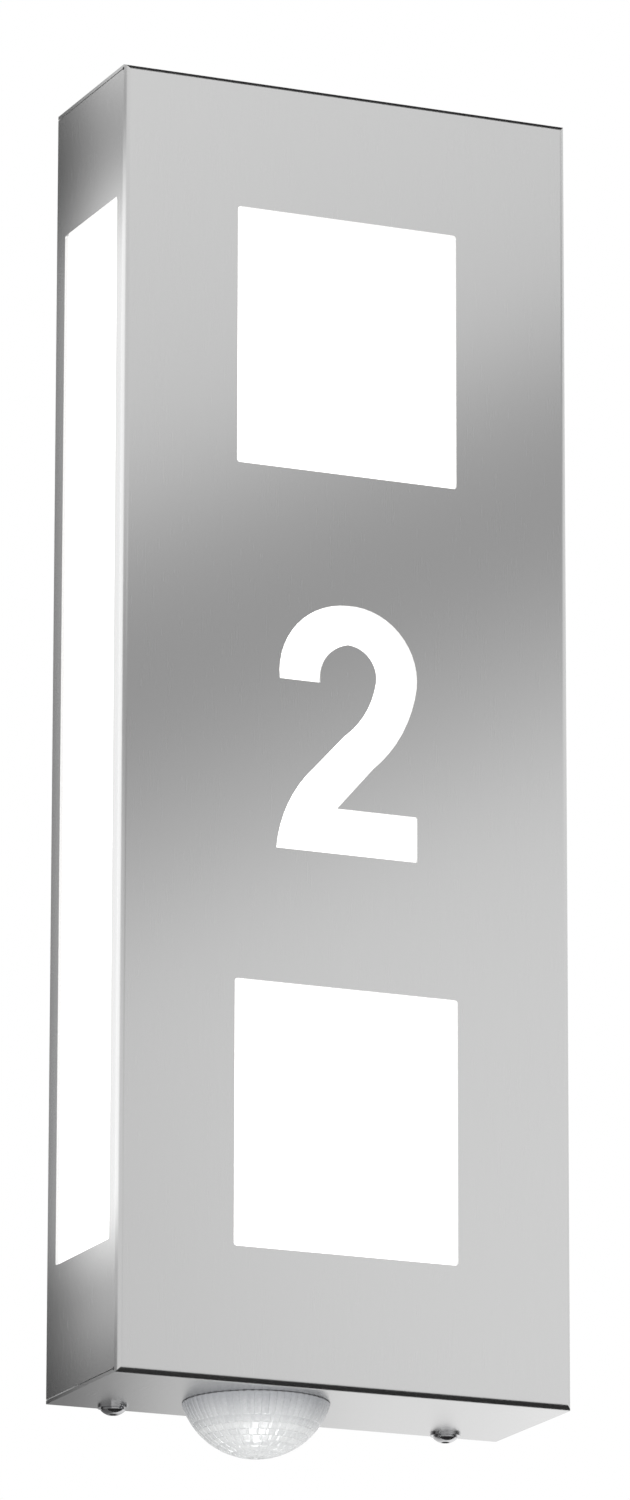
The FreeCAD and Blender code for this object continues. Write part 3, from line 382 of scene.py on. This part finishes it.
plasticLook = {
    "refraction": 1.49,
    "contrast": 0.03,
    "drift": (60, 60, 60),
    "driftDetail": 2.0,
    "roughnessChange": 0.05,
    "skin": 1500.0,
    "skinDepth": 0.015,
    "skinStrength": 0.3,
}


def plastic(name, colour, roughness, skin=plasticLook["skin"]):
    # moulded plastic: a fine spark-eroded skin and a slight drift of colour
    material, tree, shader = newFinish(name)
    shader.inputs["IOR"].default_value = plasticLook["refraction"]
    drift = noiseFrom(tree, plasticLook["drift"], plasticLook["driftDetail"])
    giveColour(tree, shader, drift, colour, plasticLook["contrast"])
    texture = noiseFrom(tree, (skin, skin, skin))
    giveRoughness(tree, shader, texture, roughness, plasticLook["roughnessChange"])
    raiseBy(tree, shader, texture, plasticLook["skinDepth"] * mm, plasticLook["skinStrength"])
    return material


opalLook = {
    "base": (0.93, 0.93, 0.92),
    "roughness": 0.38,
    "paneColour": (1.0, 0.995, 0.985),
    "globeColour": (1.0, 0.97, 0.92),
    "glow": 1.0,
    "paneInside": 0.25,     # the glow of a pane's faces that look at the lamps
    "drift": (9, 9, 5),
    "driftDetail": 1.0,
    "driftShade": 0.985,
    "skin": (1800, 1800, 1800),
    "skinDepth": 0.01,
    "skinStrength": 0.2,
}


def litOpal(name, colour, inside):
    # opal acrylic lit from behind; inside is the glow of the faces that look at the lamps
    material, tree, shader = newFinish(name)
    shader.inputs["Base Color"].default_value = (*opalLook["base"], 1)
    shader.inputs["Roughness"].default_value = opalLook["roughness"]
    drift = noiseFrom(tree, opalLook["drift"], opalLook["driftDetail"])
    tint(tree, spread(tree, drift, 0, 1), shade(colour, opalLook["driftShade"]), colour,
         shader.inputs["Emission Color"])
    place = addNode(tree, "ShaderNodeTexCoord")
    fromLamps = mathNode(tree, "MULTIPLY_ADD", place.outputs["Object"], (1, 1, 0),
                         (0, -middleOf("lamp_cap_upper").y, 0), kind="ShaderNodeVectorMath")
    outward = mathNode(tree, "DOT_PRODUCT", fromLamps.outputs["Vector"], place.outputs["Normal"],
                       kind="ShaderNodeVectorMath")
    strength = mapRange(tree, outward.outputs["Value"], -mm, mm, inside, opalLook["glow"])
    tree.links.new(strength, shader.inputs["Emission Strength"])
    raiseBy(tree, shader, noiseFrom(tree, opalLook["skin"]), opalLook["skinDepth"] * mm,
            opalLook["skinStrength"])
    return material


lensLook = {
    "low": (0.76, 0.77, 0.77),    # the lens's own colour, below the painted shade
    "high": (0.44, 0.45, 0.47),   # painted shade at the rim, standing in for the shadow of the box above
    # the painted shade starts at the first of these heights and is full at the second
    "unshadedBelow": -230.0,         # heights in millimetres
    "fullShadeAbove": -220.5,
    "change": 0.12,               # how far the small lenses differ in tone
    "roughness": 0.27,
    "roughnessChange": 0.02,
    "skin": (900, 900, 900),
}


def milkyLens():
    # frosted plastic with painted shade, darker towards the rim where the box above shades it;
    # every small lens has a tone of its own
    material, tree, shader = newFinish("milkyLens")
    place = addNode(tree, "ShaderNodeTexCoord")
    split = addNode(tree, "ShaderNodeSeparateXYZ")
    tree.links.new(place.outputs["Object"], split.inputs["Vector"])
    # painted shade: the base colour darkens from low on the dome up to the rim
    paintedShade = mapRange(tree, split.outputs["Z"], lensLook["unshadedBelow"] * mm,
                    lensLook["fullShadeAbove"] * mm)
    own = addNode(tree, "ShaderNodeAttribute", attribute_name="tone")
    tone = mathNode(tree, "MULTIPLY_ADD", own.outputs["Fac"], lensLook["change"], paintedShade)
    tint(tree, tone.outputs[0], lensLook["low"], lensLook["high"], shader.inputs["Base Color"])
    giveRoughness(tree, shader, noiseFrom(tree, lensLook["skin"]), lensLook["roughness"],
                  lensLook["roughnessChange"])
    return material


stripeLook = {
    "green": (0.05, 0.32, 0.06),
    "yellow": (0.82, 0.7, 0.05),
    "stripes": (380, 0, 0),
    "yellowAbove": 0.55,
    "roughness": 0.42,
}


def stripedSheath():
    # the earth lead's green sheath with its yellow stripes along the run
    material, tree, shader = newFinish("stripedSheath")
    wave = addNode(tree, "ShaderNodeTexWave", Scale=1.0, Distortion=0.0, bands_direction="X")
    tree.links.new(objectPoints(tree, stripeLook["stripes"]), wave.inputs["Vector"])
    sharp = mathNode(tree, "GREATER_THAN", wave.outputs["Fac"], stripeLook["yellowAbove"])
    tint(tree, sharp.outputs[0], stripeLook["green"], stripeLook["yellow"],
         shader.inputs["Base Color"])
    shader.inputs["Roughness"].default_value = stripeLook["roughness"]
    return material


boardLook = {
    "mask": (0.015, 0.13, 0.05),
    "tracks": (0.05, 0.27, 0.1),
    "pattern": (330, 330, 330),
    "trackWidth": 0.06,     # this and the next two count in units of the pattern
    "fieldLength": 0.9,
    "fieldHeight": 0.35,
    "roughness": 0.3,
    "trackRise": 0.035,
    "riseStrength": 0.6,
}


def circuitBoard():
    # green solder mask over copper tracks
    material, tree, shader = newFinish("circuitBoard")
    tracks = addNode(tree, "ShaderNodeTexBrick", Scale=1.0, **{
        "Mortar Size": boardLook["trackWidth"], "Brick Width": boardLook["fieldLength"],
        "Row Height": boardLook["fieldHeight"]})
    tree.links.new(objectPoints(tree, boardLook["pattern"]), tracks.inputs["Vector"])
    tint(tree, tracks.outputs["Fac"], boardLook["mask"], boardLook["tracks"],
         shader.inputs["Base Color"])
    shader.inputs["Roughness"].default_value = boardLook["roughness"]
    raiseBy(tree, shader, tracks.outputs["Fac"], boardLook["trackRise"] * mm,
            boardLook["riseStrength"])
    return material


# metals: name, colour, roughness, grain and, where it is not the usual one, contrast
# plastics: name, colour, roughness and, where it is not the usual one, skin
finishes = {
    "brushed_stainless": brushedSteel(),
    "zinc_plate": zincPlate(),
    "opal_acrylic": litOpal("litPane", opalLook["paneColour"], opalLook["paneInside"]),
    "polished_screw": plainMetal("polishedScrew", (0.56, 0.56, 0.57), 0.14, (900, 900, 900), 0.03),
    "spring_steel": plainMetal("springSteel", (0.42, 0.42, 0.44), 0.32, (1200, 1200, 200)),
    "lens_plastic": milkyLens(),
    "sensor_plastic": plastic("sensorPlastic", (0.8, 0.8, 0.78), 0.5),
    "seal_rubber": plastic("sealRubber", (0.035, 0.035, 0.035), 0.75, 900.0),
    "circuit_board": circuitBoard(),
    "sensor_can": plainMetal("sensorCan", (0.68, 0.66, 0.6), 0.25, (700, 700, 700)),
    "holder_plastic": plastic("holderPlastic", (0.86, 0.85, 0.82), 0.3, 700.0),
    "brass": plainMetal("turnedBrass", (0.72, 0.52, 0.22), 0.28, (200, 200, 2600)),
    "nickel": plainMetal("nickelPlate", (0.66, 0.64, 0.6), 0.22, (1600, 1600, 150)),
    "lamp_plastic": plastic("lampPlastic", (0.88, 0.88, 0.87), 0.42),
    "lamp_opal": litOpal("litGlobe", opalLook["globeColour"], opalLook["glow"]),
    "cap_insulator": plastic("capInsulator", (0.02, 0.02, 0.025), 0.16, 400.0),
    "terminal_plastic": plastic("terminalPlastic", (0.8, 0.8, 0.76), 0.4),
    "lead_sheath": plastic("leadSheath", (0.05, 0.05, 0.05), 0.48, 500.0),
    "earth_sheath": stripedSheath(),
    "grommet_rubber": plastic("grommetRubber", (0.05, 0.05, 0.05), 0.7, 800.0),
    "socket_plastic": plastic("socketPlastic", (0.84, 0.84, 0.82), 0.45),
    "dial_plastic": plastic("dialPlastic", (0.08, 0.2, 0.48), 0.4),
}

for entry in frame["record"]["subparts"]:
    mesh = cadNodes[entry["node"]].data
    mesh.materials.clear()
    mesh.materials.append(finishes[entry["material_slot"]])
print("finishes given:", len(finishes))


# The sensor's domed lens, with its rings of small lenses. Sizes of pieces are in millimetres and
# angles in degrees.

lens = {
    "radius": 25.3,
    "wall": 1.1,
    "centreHeight": -212.5,
    "rimHeight": -220.15,
    "groove": 0.2,
    "grooveDepth": 0.16,
    # where each ring but the first starts and the last one ends, below level; the first starts
    # at the rim
    "ringStarts": (35.5, 41.5, 47.5, 53.5, 59.5, 65.5, 71.5, 78.0),
    "lastEnd": 88.0,
    "lensesPerRing": (60, 40, 36, 32, 30, 24, 20, 15, 10),
    "toneStep": 0.618,      # from one small lens to the next, so that no pattern shows
    "rowsPerRing": 3,
    "stepsPerRing": 120,
    "innerRows": 24,
    "smoothBelow": 7.0,
}


def ringPoint(radius, below):
    return radius * math.cos(below), -radius * math.sin(below)


def lensBand(bm, start, end, count):
    # one band of the dome; gives back the faces of each small lens
    steps = count * max(1, round(lens["stepsPerRing"] / count))
    before = set(bm.faces)
    arc = [ringPoint(lens["radius"] * mm, below)
           for below in evenly(start, end, lens["rowsPerRing"])]
    turnProfile(bm, arc, steps, closed=False)
    groups = {}
    for face in bm.faces:
        if face not in before:
            spot = face.calc_center_median()
            number = int(math.atan2(spot.y, spot.x) % math.tau / math.tau * count)
            groups.setdefault(number, []).append(face)
    return list(groups.values())


def buildLens():
    bm = bmesh.new()
    tone = bm.faces.layers.float.new("tone")
    rimBelow = math.asin((lens["centreHeight"] - lens["rimHeight"]) / lens["radius"])
    starts = [rimBelow] + [math.radians(below) for below in lens["ringStarts"]]
    ends = starts[1:] + [math.radians(lens["lastEnd"])]
    small = []
    for ring, (start, end, count) in enumerate(zip(starts, ends, lens["lensesPerRing"])):
        for faces in lensBand(bm, start, end, count):
            for face in faces:
                face[tone] = ring % 2 + len(small) * lens["toneStep"] % 1
            small.append(faces)
    bmesh.ops.remove_doubles(bm, verts=bm.verts, dist=closePoints)
    bmesh.ops.recalc_face_normals(bm, faces=bm.faces)
    low = (lens["radius"] - lens["grooveDepth"]) * mm
    # a groove runs round every small lens
    for faces in small:
        rim = bmesh.ops.inset_region(bm, faces=faces, thickness=lens["groove"] * mm, depth=0,
                                     use_boundary=True, use_even_offset=True)
        inside = {vert for face in faces for vert in face.verts}
        for vert in {vert for face in rim["faces"] for vert in face.verts} - inside:
            vert.co = vert.co.normalized() * low
    turnProfile(bm, [ringPoint(low, ends[-1]), (0, -low)], lens["stepsPerRing"], closed=False)
    inner = (lens["radius"] - lens["wall"]) * mm
    cup = [ringPoint(inner, below)
           for below in evenly(math.pi / 2, rimBelow, lens["innerRows"])[1:]]
    turnProfile(bm, [(0, -inner)] + cup + [ringPoint(low, rimBelow)], lens["stepsPerRing"],
                closed=False)
    moveOver(bm, "sensor_housing", lens["centreHeight"] * mm)
    makePiece("sensorLens", bm, bodyOf["sensor_lens"], "lens_plastic", ["sensor_lens"],
              lens["smoothBelow"])


buildLens()
print("lens built")


# The two cover screws, with their threads and six-sided sockets

coverScrew = {
    "radius": 2.5,
    "pitch": 0.8,
    "threadDepth": 0.42,
    "rowsPerTurn": 8,
    "headRadius": 4.0,
    "headHeight": 2.4,
    "headRim": 0.7,
    "headBevel": 0.1,
    "domeRows": 10,
    "faceRadius": 1.9,
    "socketWidth": 2.5,
    "socketDepth": 1.6,
    "socketPoint": 0.5,
    "seatHeight": -220.8,
    "tipHeight": -211.8,
    "tipBevel": 0.45,
    "plainTip": 0.05,       # the thread stops this far below the tip
    "steps": 48,
}


def buildCoverScrew(node, name):
    size = coverScrew
    seat, tip = size["seatHeight"], size["tipHeight"]
    radius, head = size["radius"], size["headRadius"]
    dome = size["headHeight"] - size["headRim"]
    ball = (head ** 2 + dome ** 2) / (2 * dome)

    def domeHeight(reach):
        return seat - size["headRim"] + ball - dome - math.sqrt(ball ** 2 - reach ** 2)

    rows = round((tip - seat) / size["pitch"] * size["rowsPerTurn"])
    points = [(0, tip), (radius - size["tipBevel"], tip)]
    points += [(radius, height) for height in evenly(tip - size["tipBevel"], seat, rows)]
    points += [(head - size["headBevel"], seat), (head, seat - size["headBevel"])]
    points += [(reach, domeHeight(reach))
               for reach in evenly(head, size["faceRadius"], size["domeRows"])]
    half, face = size["socketWidth"] / 2, domeHeight(size["faceRadius"])
    floor = face + size["socketDepth"]
    points += [(half, face), (half, floor), (0, floor + size["socketPoint"])]
    bm = bmesh.new()
    turnProfile(bm, [(reach * mm, height * mm) for reach, height in points], size["steps"])
    cutThread(bm, size, (seat + size["pitch"]) * mm, (tip - size["plainTip"]) * mm,
              size["pitch"] * mm, sharpThread)
    # the socket's round wall is pushed out to six flat sides
    side = math.tau / 6
    for vert in bm.verts:
        if abs(math.hypot(vert.co.x, vert.co.y) - half * mm) < closePoints:
            fromMiddle = (math.atan2(vert.co.y, vert.co.x) + side / 2) % side - side / 2
            vert.co.x /= math.cos(fromMiddle)
            vert.co.y /= math.cos(fromMiddle)
    moveOver(bm, node)
    makePiece(name, bm, bodyOf[node], "polished_screw", [node])


buildCoverScrew("cover_screw_left", "coverScrewLeft")
buildCoverScrew("cover_screw_right", "coverScrewRight")
print("cover screws built")


# The lamps' screw caps with their rolled threads

lampCap = {
    "radius": 13.1,
    "wall": 0.6,
    "threadDepth": 0.55,
    "pitch": 3.63,
    "rowsPerTurn": 12,
    "plainEnd": 2.0,
    "steps": 96,
    "smoothBelow": 40.0,
}


def buildLampCap(node, name):
    size = lampCap
    low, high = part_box(node)
    bm = bmesh.new()
    rows = round((high.z - low.z) / mm / size["pitch"] * size["rowsPerTurn"])
    radius, inner = size["radius"] * mm, (size["radius"] - size["wall"]) * mm
    points = [(radius, height) for height in evenly(low.z, high.z, rows)]
    turnProfile(bm, points + [(inner, high.z), (inner, low.z)], size["steps"])
    end = size["plainEnd"] * mm
    cutThread(bm, size, low.z + end, high.z - end, end, roundThread)
    moveOver(bm, node)
    makePiece(name, bm, bodyOf[node], "nickel", [node], size["smoothBelow"])


buildLampCap("lamp_cap_upper", "lampCapUpper")
buildLampCap("lamp_cap_lower", "lampCapLower")
print("lamp caps built")


# The sensor's two setting dials and the marks round them

dial = {
    "radius": 4.2,
    "height": 2.5,
    "bevel": 0.4,
    "flutes": 16,
    "fluteDepth": 0.28,
    "fluteReach": 0.6,      # the flutes reach this far in from the rim
    "fluteSharpness": 0.7,
    "shaftRadius": 1.5,
    "slotWidth": 1.0,
    "slotHalf": 3.15,
    "slotDepth": 1.2,
    "steps": 128,
    "markFrom": 4.7,
    "markLength": (0.5, 0.9),   # a short mark and a long one
    "markWidth": 0.22,
    "markRise": 0.12,
    "marks": 11,
    "longEvery": 5,
    "sweep": 270.0,
    "sweepMiddle": 90.0,
}


def topFaces(bm, height):
    return [face for face in bm.faces if face.calc_center_median().z > height - closePoints]


def buildDial(node, name):
    size = dial
    low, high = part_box(node)
    bm = bmesh.new()
    radius, bevel, shaft = size["radius"] * mm, size["bevel"] * mm, size["shaftRadius"] * mm
    base = high.z - size["height"] * mm
    turnProfile(bm, [(0, low.z), (shaft, low.z), (shaft, base), (radius, base),
                     (radius, high.z - bevel), (radius - bevel, high.z), (0, high.z)],
                size["steps"])
    for vert in bm.verts:
        if math.hypot(vert.co.x, vert.co.y) > radius - size["fluteReach"] * mm:
            wave = math.cos(size["flutes"] * math.atan2(vert.co.y, vert.co.x))
            pullIn(vert, size["fluteDepth"] * mm * max(0.0, wave) ** size["fluteSharpness"])
    half, long = size["slotWidth"] / 2 * mm, size["slotHalf"] * mm
    # the top is cut along the slot's four sides, then what lies between them is sunk
    for normal, offset in (((0, 1, 0), half), ((0, 1, 0), -half),
                           ((1, 0, 0), long), ((1, 0, 0), -long)):
        top = topFaces(bm, high.z)
        edges = list({edge for face in top for edge in face.edges})
        verts = list({vert for face in top for vert in face.verts})
        bmesh.ops.bisect_plane(bm, geom=top + edges + verts, dist=closePoints / 10,
                               plane_co=Vector(normal) * offset, plane_no=normal)
    sunk = [face for face in topFaces(bm, high.z) if abs(face.calc_center_median().x) < long
            and abs(face.calc_center_median().y) < half]
    made = bmesh.ops.extrude_face_region(bm, geom=sunk)["geom"]
    floor = [item for item in made if isinstance(item, bmesh.types.BMVert)]
    bmesh.ops.translate(bm, verts=floor, vec=(0, 0, -size["slotDepth"] * mm))
    bmesh.ops.delete(bm, geom=sunk, context="FACES")
    moveOver(bm, node)
    makePiece(name, bm, bodyOf[node], "dial_plastic", [node])


def buildDialMarks():
    size = dial
    bm = bmesh.new()
    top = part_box("sensor_lid")[1].z
    for node in ("time_dial", "dusk_dial"):
        place = middleOf(node)
        for number in range(size["marks"]):
            share = number / (size["marks"] - 1) - 0.5
            angle = math.radians(size["sweepMiddle"] + size["sweep"] * share)
            length = size["markLength"][number % size["longEvery"] == 0] * mm
            reach = size["markFrom"] * mm + length / 2
            addBar(bm, (length, size["markWidth"] * mm, 2 * size["markRise"] * mm),
                   (place.x + reach * math.cos(angle), place.y + reach * math.sin(angle), top),
                   angle)
    makePiece("dialMarks", bm, bodyOf["sensor_lid"], "sensor_plastic")


buildDial("time_dial", "timeDial")
buildDial("dusk_dial", "duskDial")
buildDialMarks()
print("dials built")


# The push nuts that hold the panes: a dished ring with teeth that grip the stud

pushNut = {
    "radius": 4.5,
    "hole": 1.52,
    "root": 3.0,        # the teeth start here
    "rootLap": 0.05,    # and reach this far into the ring
    "sheet": 0.5,
    "rise": 0.7,
    "teeth": 6,
    "toothShare": 0.72,
    "toothSteps": 6,
    "steps": 48,
}


def onePushNut():
    # a push nut at the origin, with its dish rising along the Z axis
    size = pushNut
    bm = bmesh.new()
    radius, root, hole = size["radius"] * mm, size["root"] * mm, size["hole"] * mm
    sheet, rise, lap = size["sheet"] * mm, size["rise"] * mm, size["rootLap"] * mm
    rootRise = rise * (radius - root) / (radius - hole)
    turnProfile(bm, [(radius, 0), (radius, sheet), (root, sheet + rootRise), (root, rootRise)],
                size["steps"])
    turn = math.tau / size["teeth"]
    for number in range(size["teeth"]):
        before = set(bm.verts)
        turnWedge(bm, [(root + lap, rootRise), (root + lap, sheet + rootRise), (hole, sheet + rise),
                       (hole, rise)], turn * size["toothShare"], size["toothSteps"])
        tooth = [vert for vert in bm.verts if vert not in before]
        bmesh.ops.rotate(bm, verts=tooth, cent=(0, 0, 0),
                         matrix=Matrix.Rotation(number * turn, 3, "Z"))
    return meshFrom("onePushNut", bm)


def buildPushNuts():
    # one on each solid of the node, with its dish towards the inside of the cover
    one = onePushNut()
    bm = bmesh.new()
    for low, high in solidBoxes("push_nuts"):
        extent, middle = high - low, (low + high) / 2
        way = min(range(3), key=lambda axis: extent[axis])
        inward = Vector((0, 0, 0))
        inward[way] = 1 if way == 1 else -math.copysign(1, middle.x)
        before = set(bm.verts)
        bm.from_mesh(one)
        own = [vert for vert in bm.verts if vert not in before]
        bmesh.ops.rotate(bm, verts=own, cent=(0, 0, 0),
                         matrix=inward.to_track_quat("Z", "X").to_matrix())
        bmesh.ops.translate(bm, verts=own, vec=middle - inward * extent[way] / 2)
    bpy.data.meshes.remove(one)
    makePiece("pushNuts", bm, bodyOf["push_nuts"], "spring_steel", ["push_nuts"])


buildPushNuts()
print("push nuts built")


# Camera, floor and studio

# places and distances in metres, angles in degrees, lens and sensor in millimetres
cameraView = {
    "place": (-1.1524, -2.7040, -0.7858),
    "heading": 23.349,
    "lift": 15.121,
    "roll": -0.106,
    "lensLength": 218.94,
    "sensorWidth": 36.0,
    "farthest": 100.0,
}


def aimCamera():
    data = bpy.data.cameras.new("photoCamera")
    camera = addObject("photoCamera", data)
    heading, lift = math.radians(cameraView["heading"]), math.radians(cameraView["lift"])
    ahead = Vector((math.sin(heading) * math.cos(lift), math.cos(heading) * math.cos(lift),
                    math.sin(lift)))
    right = ahead.cross(Vector((0, 0, 1))).normalized()
    turn = Matrix((right, right.cross(ahead), -ahead)).transposed().to_4x4()
    turn = turn @ Matrix.Rotation(math.radians(-cameraView["roll"]), 4, "Z")
    camera.matrix_world = Matrix.Translation(cameraView["place"]) @ turn
    data.lens = cameraView["lensLength"]
    data.sensor_width = cameraView["sensorWidth"]
    data.clip_end = cameraView["farthest"]
    bpy.context.scene.camera = camera


# places and sizes in metres, power in watts
studio = {
    "floorHeight": -1.9,
    "floorSize": 30.0,
    "floorColour": (0.9, 0.9, 0.9),
    "floorRoughness": 0.9,
    "floorGlow": 0.5,   # added to the floor as the camera sees it
    "fill": 0.5,        # the surroundings' brightness as soft light
    "softLamps": (
        dict(place=(-0.5, -1.0, -1.3), size=0.6, power=14.0, aim=(0, 0, -0.2)),
        dict(place=(1.4, -1.6, 0.9), size=0.9, power=10.0, aim=(0, 0, 0)),
        dict(place=(0.2, 1.6, 0.6), size=0.9, power=8.0, aim=(0, 0, 0)),
    ),
    # the small lamp under the sensor that lights its lens and nothing else
    "lensLamp": dict(place=(-0.0245, -0.044, -0.322), size=0.034, power=0.06,
                     aim=(-0.0245, -0.0435, -0.232)),
}

# Cards that only reflections see. Each has its size, place and facing, the angle that its bands
# lean at, and the brightness at places across the bands and along them, from the card's middle.
even = ((-1.0, 1.0), (1.0, 1.0))    # the same brightness all over
reflectionCards = {
    "front": dict(size=(1.2, 1.4), place=(0.12, -0.34, 0.13), facing=(0, 1, 0), lean=26.0,
                  across=((-0.3, 1.0), (-0.1, 0.95), (-0.05, 0.6), (0, 0.35), (0.04, 0.45),
                          (0.08, 0.9), (0.3, 1.0)),
                  along=((-0.3, 1.05), (0.05, 1.05), (0.3, 0.8))),
    "side": dict(size=(0.25, 0.62), place=(-0.105, 0.055, 0.017), facing=(1, 0, 0),
                 across=((-0.23, 0.2), (-0.2, 0.42), (-0.17, 0.95), (0.15, 0.9), (0.2, 0.35),
                         (0.25, 0.8)),
                 along=((-0.12, 1.6), (-0.05, 1.8), (-0.02, 0.7), (0, 0.1))),
    # stands before the upright fold between front and side, and carries the front's bands on
    "corner": dict(size=(0.34, 0.7), place=(-0.177, -0.186, 0.04), facing=(0.83, 0.56, 0),
                   across=((-0.3, 0.9), (-0.12, 0.9), (-0.06, 0.78), (0.015, 0.45), (0.1, 0.85),
                           (0.3, 1.0))),
    "left": dict(size=(1.7, 2.4), place=(-0.8, -0.45, 0.1), facing=(1, 0, 0),
                 across=((-1.0, 0.45), (1.0, 0.45))),
    # the two dark cards draw the dark lines along the level folds
    "top": dict(size=(1.4, 1.0), place=(0, -0.15, 0.6), facing=(0, 0, -1),
                across=((-0.5, 0.03), (0.5, 0.03))),
    "under": dict(size=(1.4, 0.36), place=(0, -0.15, -0.33), facing=(0, 0, 1),
                  across=((-0.5, 0.03), (0.5, 0.03))),
    "rear": dict(size=(0.9, 0.34), place=(0.1, 0.12, -0.39), facing=(0, -1, 0), across=even,
                 along=((-0.2, 0.15), (-0.13, 0.25), (-0.08, 0.7), (0, 1.0), (0.1, 1.2),
                        (0.4, 0.9))),
}


def flatCard(name, size, place, facing, material):
    bm = bmesh.new()
    bmesh.ops.create_grid(bm, x_segments=1, y_segments=1, size=0.5)
    bmesh.ops.scale(bm, verts=bm.verts, vec=(size[0], size[1], 1))
    card = addObject(name, meshFrom(name, bm))
    card.data.materials.append(material)
    turn = Vector(facing).to_track_quat("Z", "Y").to_matrix().to_4x4()
    card.matrix_world = Matrix.Translation(place) @ turn
    return card


def levelAlong(tree, value, levels):
    # a smooth run of brightness through the given pairs of place and level
    first, last = levels[0][0], levels[-1][0]
    ramp = addNode(tree, "ShaderNodeValToRGB")
    ramp.color_ramp.interpolation = "EASE"
    while len(ramp.color_ramp.elements) < len(levels):
        ramp.color_ramp.elements.new(0.5)
    for element, (spot, level) in zip(ramp.color_ramp.elements, levels):
        element.position = (spot - first) / (last - first)
        element.color = (level, level, level, 1)
    tree.links.new(mapRange(tree, value, first, last), ramp.inputs["Fac"])
    return ramp.outputs["Color"]


def reflectionCard(name, size, place, facing, across, along=even, lean=0.0):
    material = bpy.data.materials.new(name + "Card")
    material.use_nodes = True
    tree = material.node_tree
    tree.nodes.remove(tree.nodes["Principled BSDF"])
    glow = addNode(tree, "ShaderNodeEmission")
    tree.links.new(glow.outputs[0], tree.nodes["Material Output"].inputs["Surface"])
    points = addNode(tree, "ShaderNodeTexCoord")
    turned = addNode(tree, "ShaderNodeMapping", Rotation=(0, 0, math.radians(lean)))
    tree.links.new(points.outputs["Object"], turned.inputs["Vector"])
    split = addNode(tree, "ShaderNodeSeparateXYZ")
    tree.links.new(turned.outputs["Vector"], split.inputs["Vector"])
    both = mathNode(tree, "MULTIPLY", levelAlong(tree, split.outputs["Y"], across),
                    levelAlong(tree, split.outputs["X"], along), kind="ShaderNodeVectorMath")
    tree.links.new(both.outputs["Vector"], glow.inputs["Color"])
    card = flatCard(name + "Card", size, place, facing, material)
    card.visible_camera = False
    card.visible_diffuse = False
    card.visible_transmission = False
    card.visible_shadow = False


def buildFloor():
    # the floor is pale, and open from below so that it hides nothing
    material, tree, shader = newFinish("paleFloor")
    shader.inputs["Base Color"].default_value = (*studio["floorColour"], 1)
    shader.inputs["Roughness"].default_value = studio["floorRoughness"]
    shader.inputs["Emission Color"].default_value = (1, 1, 1, 1)
    path = addNode(tree, "ShaderNodeLightPath")
    glow = mathNode(tree, "MULTIPLY", path.outputs["Is Camera Ray"], studio["floorGlow"])
    tree.links.new(glow.outputs[0], shader.inputs["Emission Strength"])
    side = addNode(tree, "ShaderNodeNewGeometry")
    clear = addNode(tree, "ShaderNodeBsdfTransparent")
    either = addNode(tree, "ShaderNodeMixShader")
    tree.links.new(side.outputs["Backfacing"], either.inputs["Fac"])
    tree.links.new(shader.outputs[0], either.inputs[1])
    tree.links.new(clear.outputs[0], either.inputs[2])
    tree.links.new(either.outputs[0], tree.nodes["Material Output"].inputs["Surface"])
    size = studio["floorSize"]
    flatCard("floor", (size, size), (0, 0, studio["floorHeight"]), (0, 0, 1), material)


def buildWorld():
    # white to the eye and in reflections, a soft fill everywhere else
    world = bpy.data.worlds.new("studio")
    bpy.context.scene.world = world
    world.use_nodes = True
    tree = world.node_tree
    path = addNode(tree, "ShaderNodeLightPath")
    seen = mathNode(tree, "ADD", path.outputs["Is Camera Ray"], path.outputs["Is Glossy Ray"])
    seenAny = mathNode(tree, "ADD", seen.outputs[0], path.outputs["Is Transmission Ray"],
                       use_clamp=True)
    background = tree.nodes["Background"]
    background.inputs["Color"].default_value = (1, 1, 1, 1)
    tree.links.new(mapRange(tree, seenAny.outputs[0], 0.0, 1.0, studio["fill"]),
                   background.inputs["Strength"])


def addLamp(name, place, size, power, aim):
    data = bpy.data.lights.new(name, "AREA")
    data.shape = "SQUARE"
    data.size = size
    data.energy = power
    lamp = addObject(name, data)
    turn = (Vector(aim) - Vector(place)).to_track_quat("-Z", "Y").to_matrix().to_4x4()
    lamp.matrix_world = Matrix.Translation(place) @ turn
    return lamp


def buildLamps():
    for number, settings in enumerate(studio["softLamps"]):
        addLamp("softLamp%d" % number, **settings).visible_glossy = False
    lensLamp = addLamp("lensLamp", **studio["lensLamp"])
    lensLamp.visible_diffuse = False
    lensLamp.visible_camera = False
    lit = bpy.data.collections.new("litByLensLamp")
    lit.objects.link(bpy.data.objects["sensorLens"])
    lensLamp.light_linking.receiver_collection = lit


aimCamera()
buildFloor()
buildWorld()
buildLamps()
for cardName, settings in reflectionCards.items():
    reflectionCard(cardName, **settings)

bpy.context.scene.view_settings.view_transform = "Standard"
print("studio built")
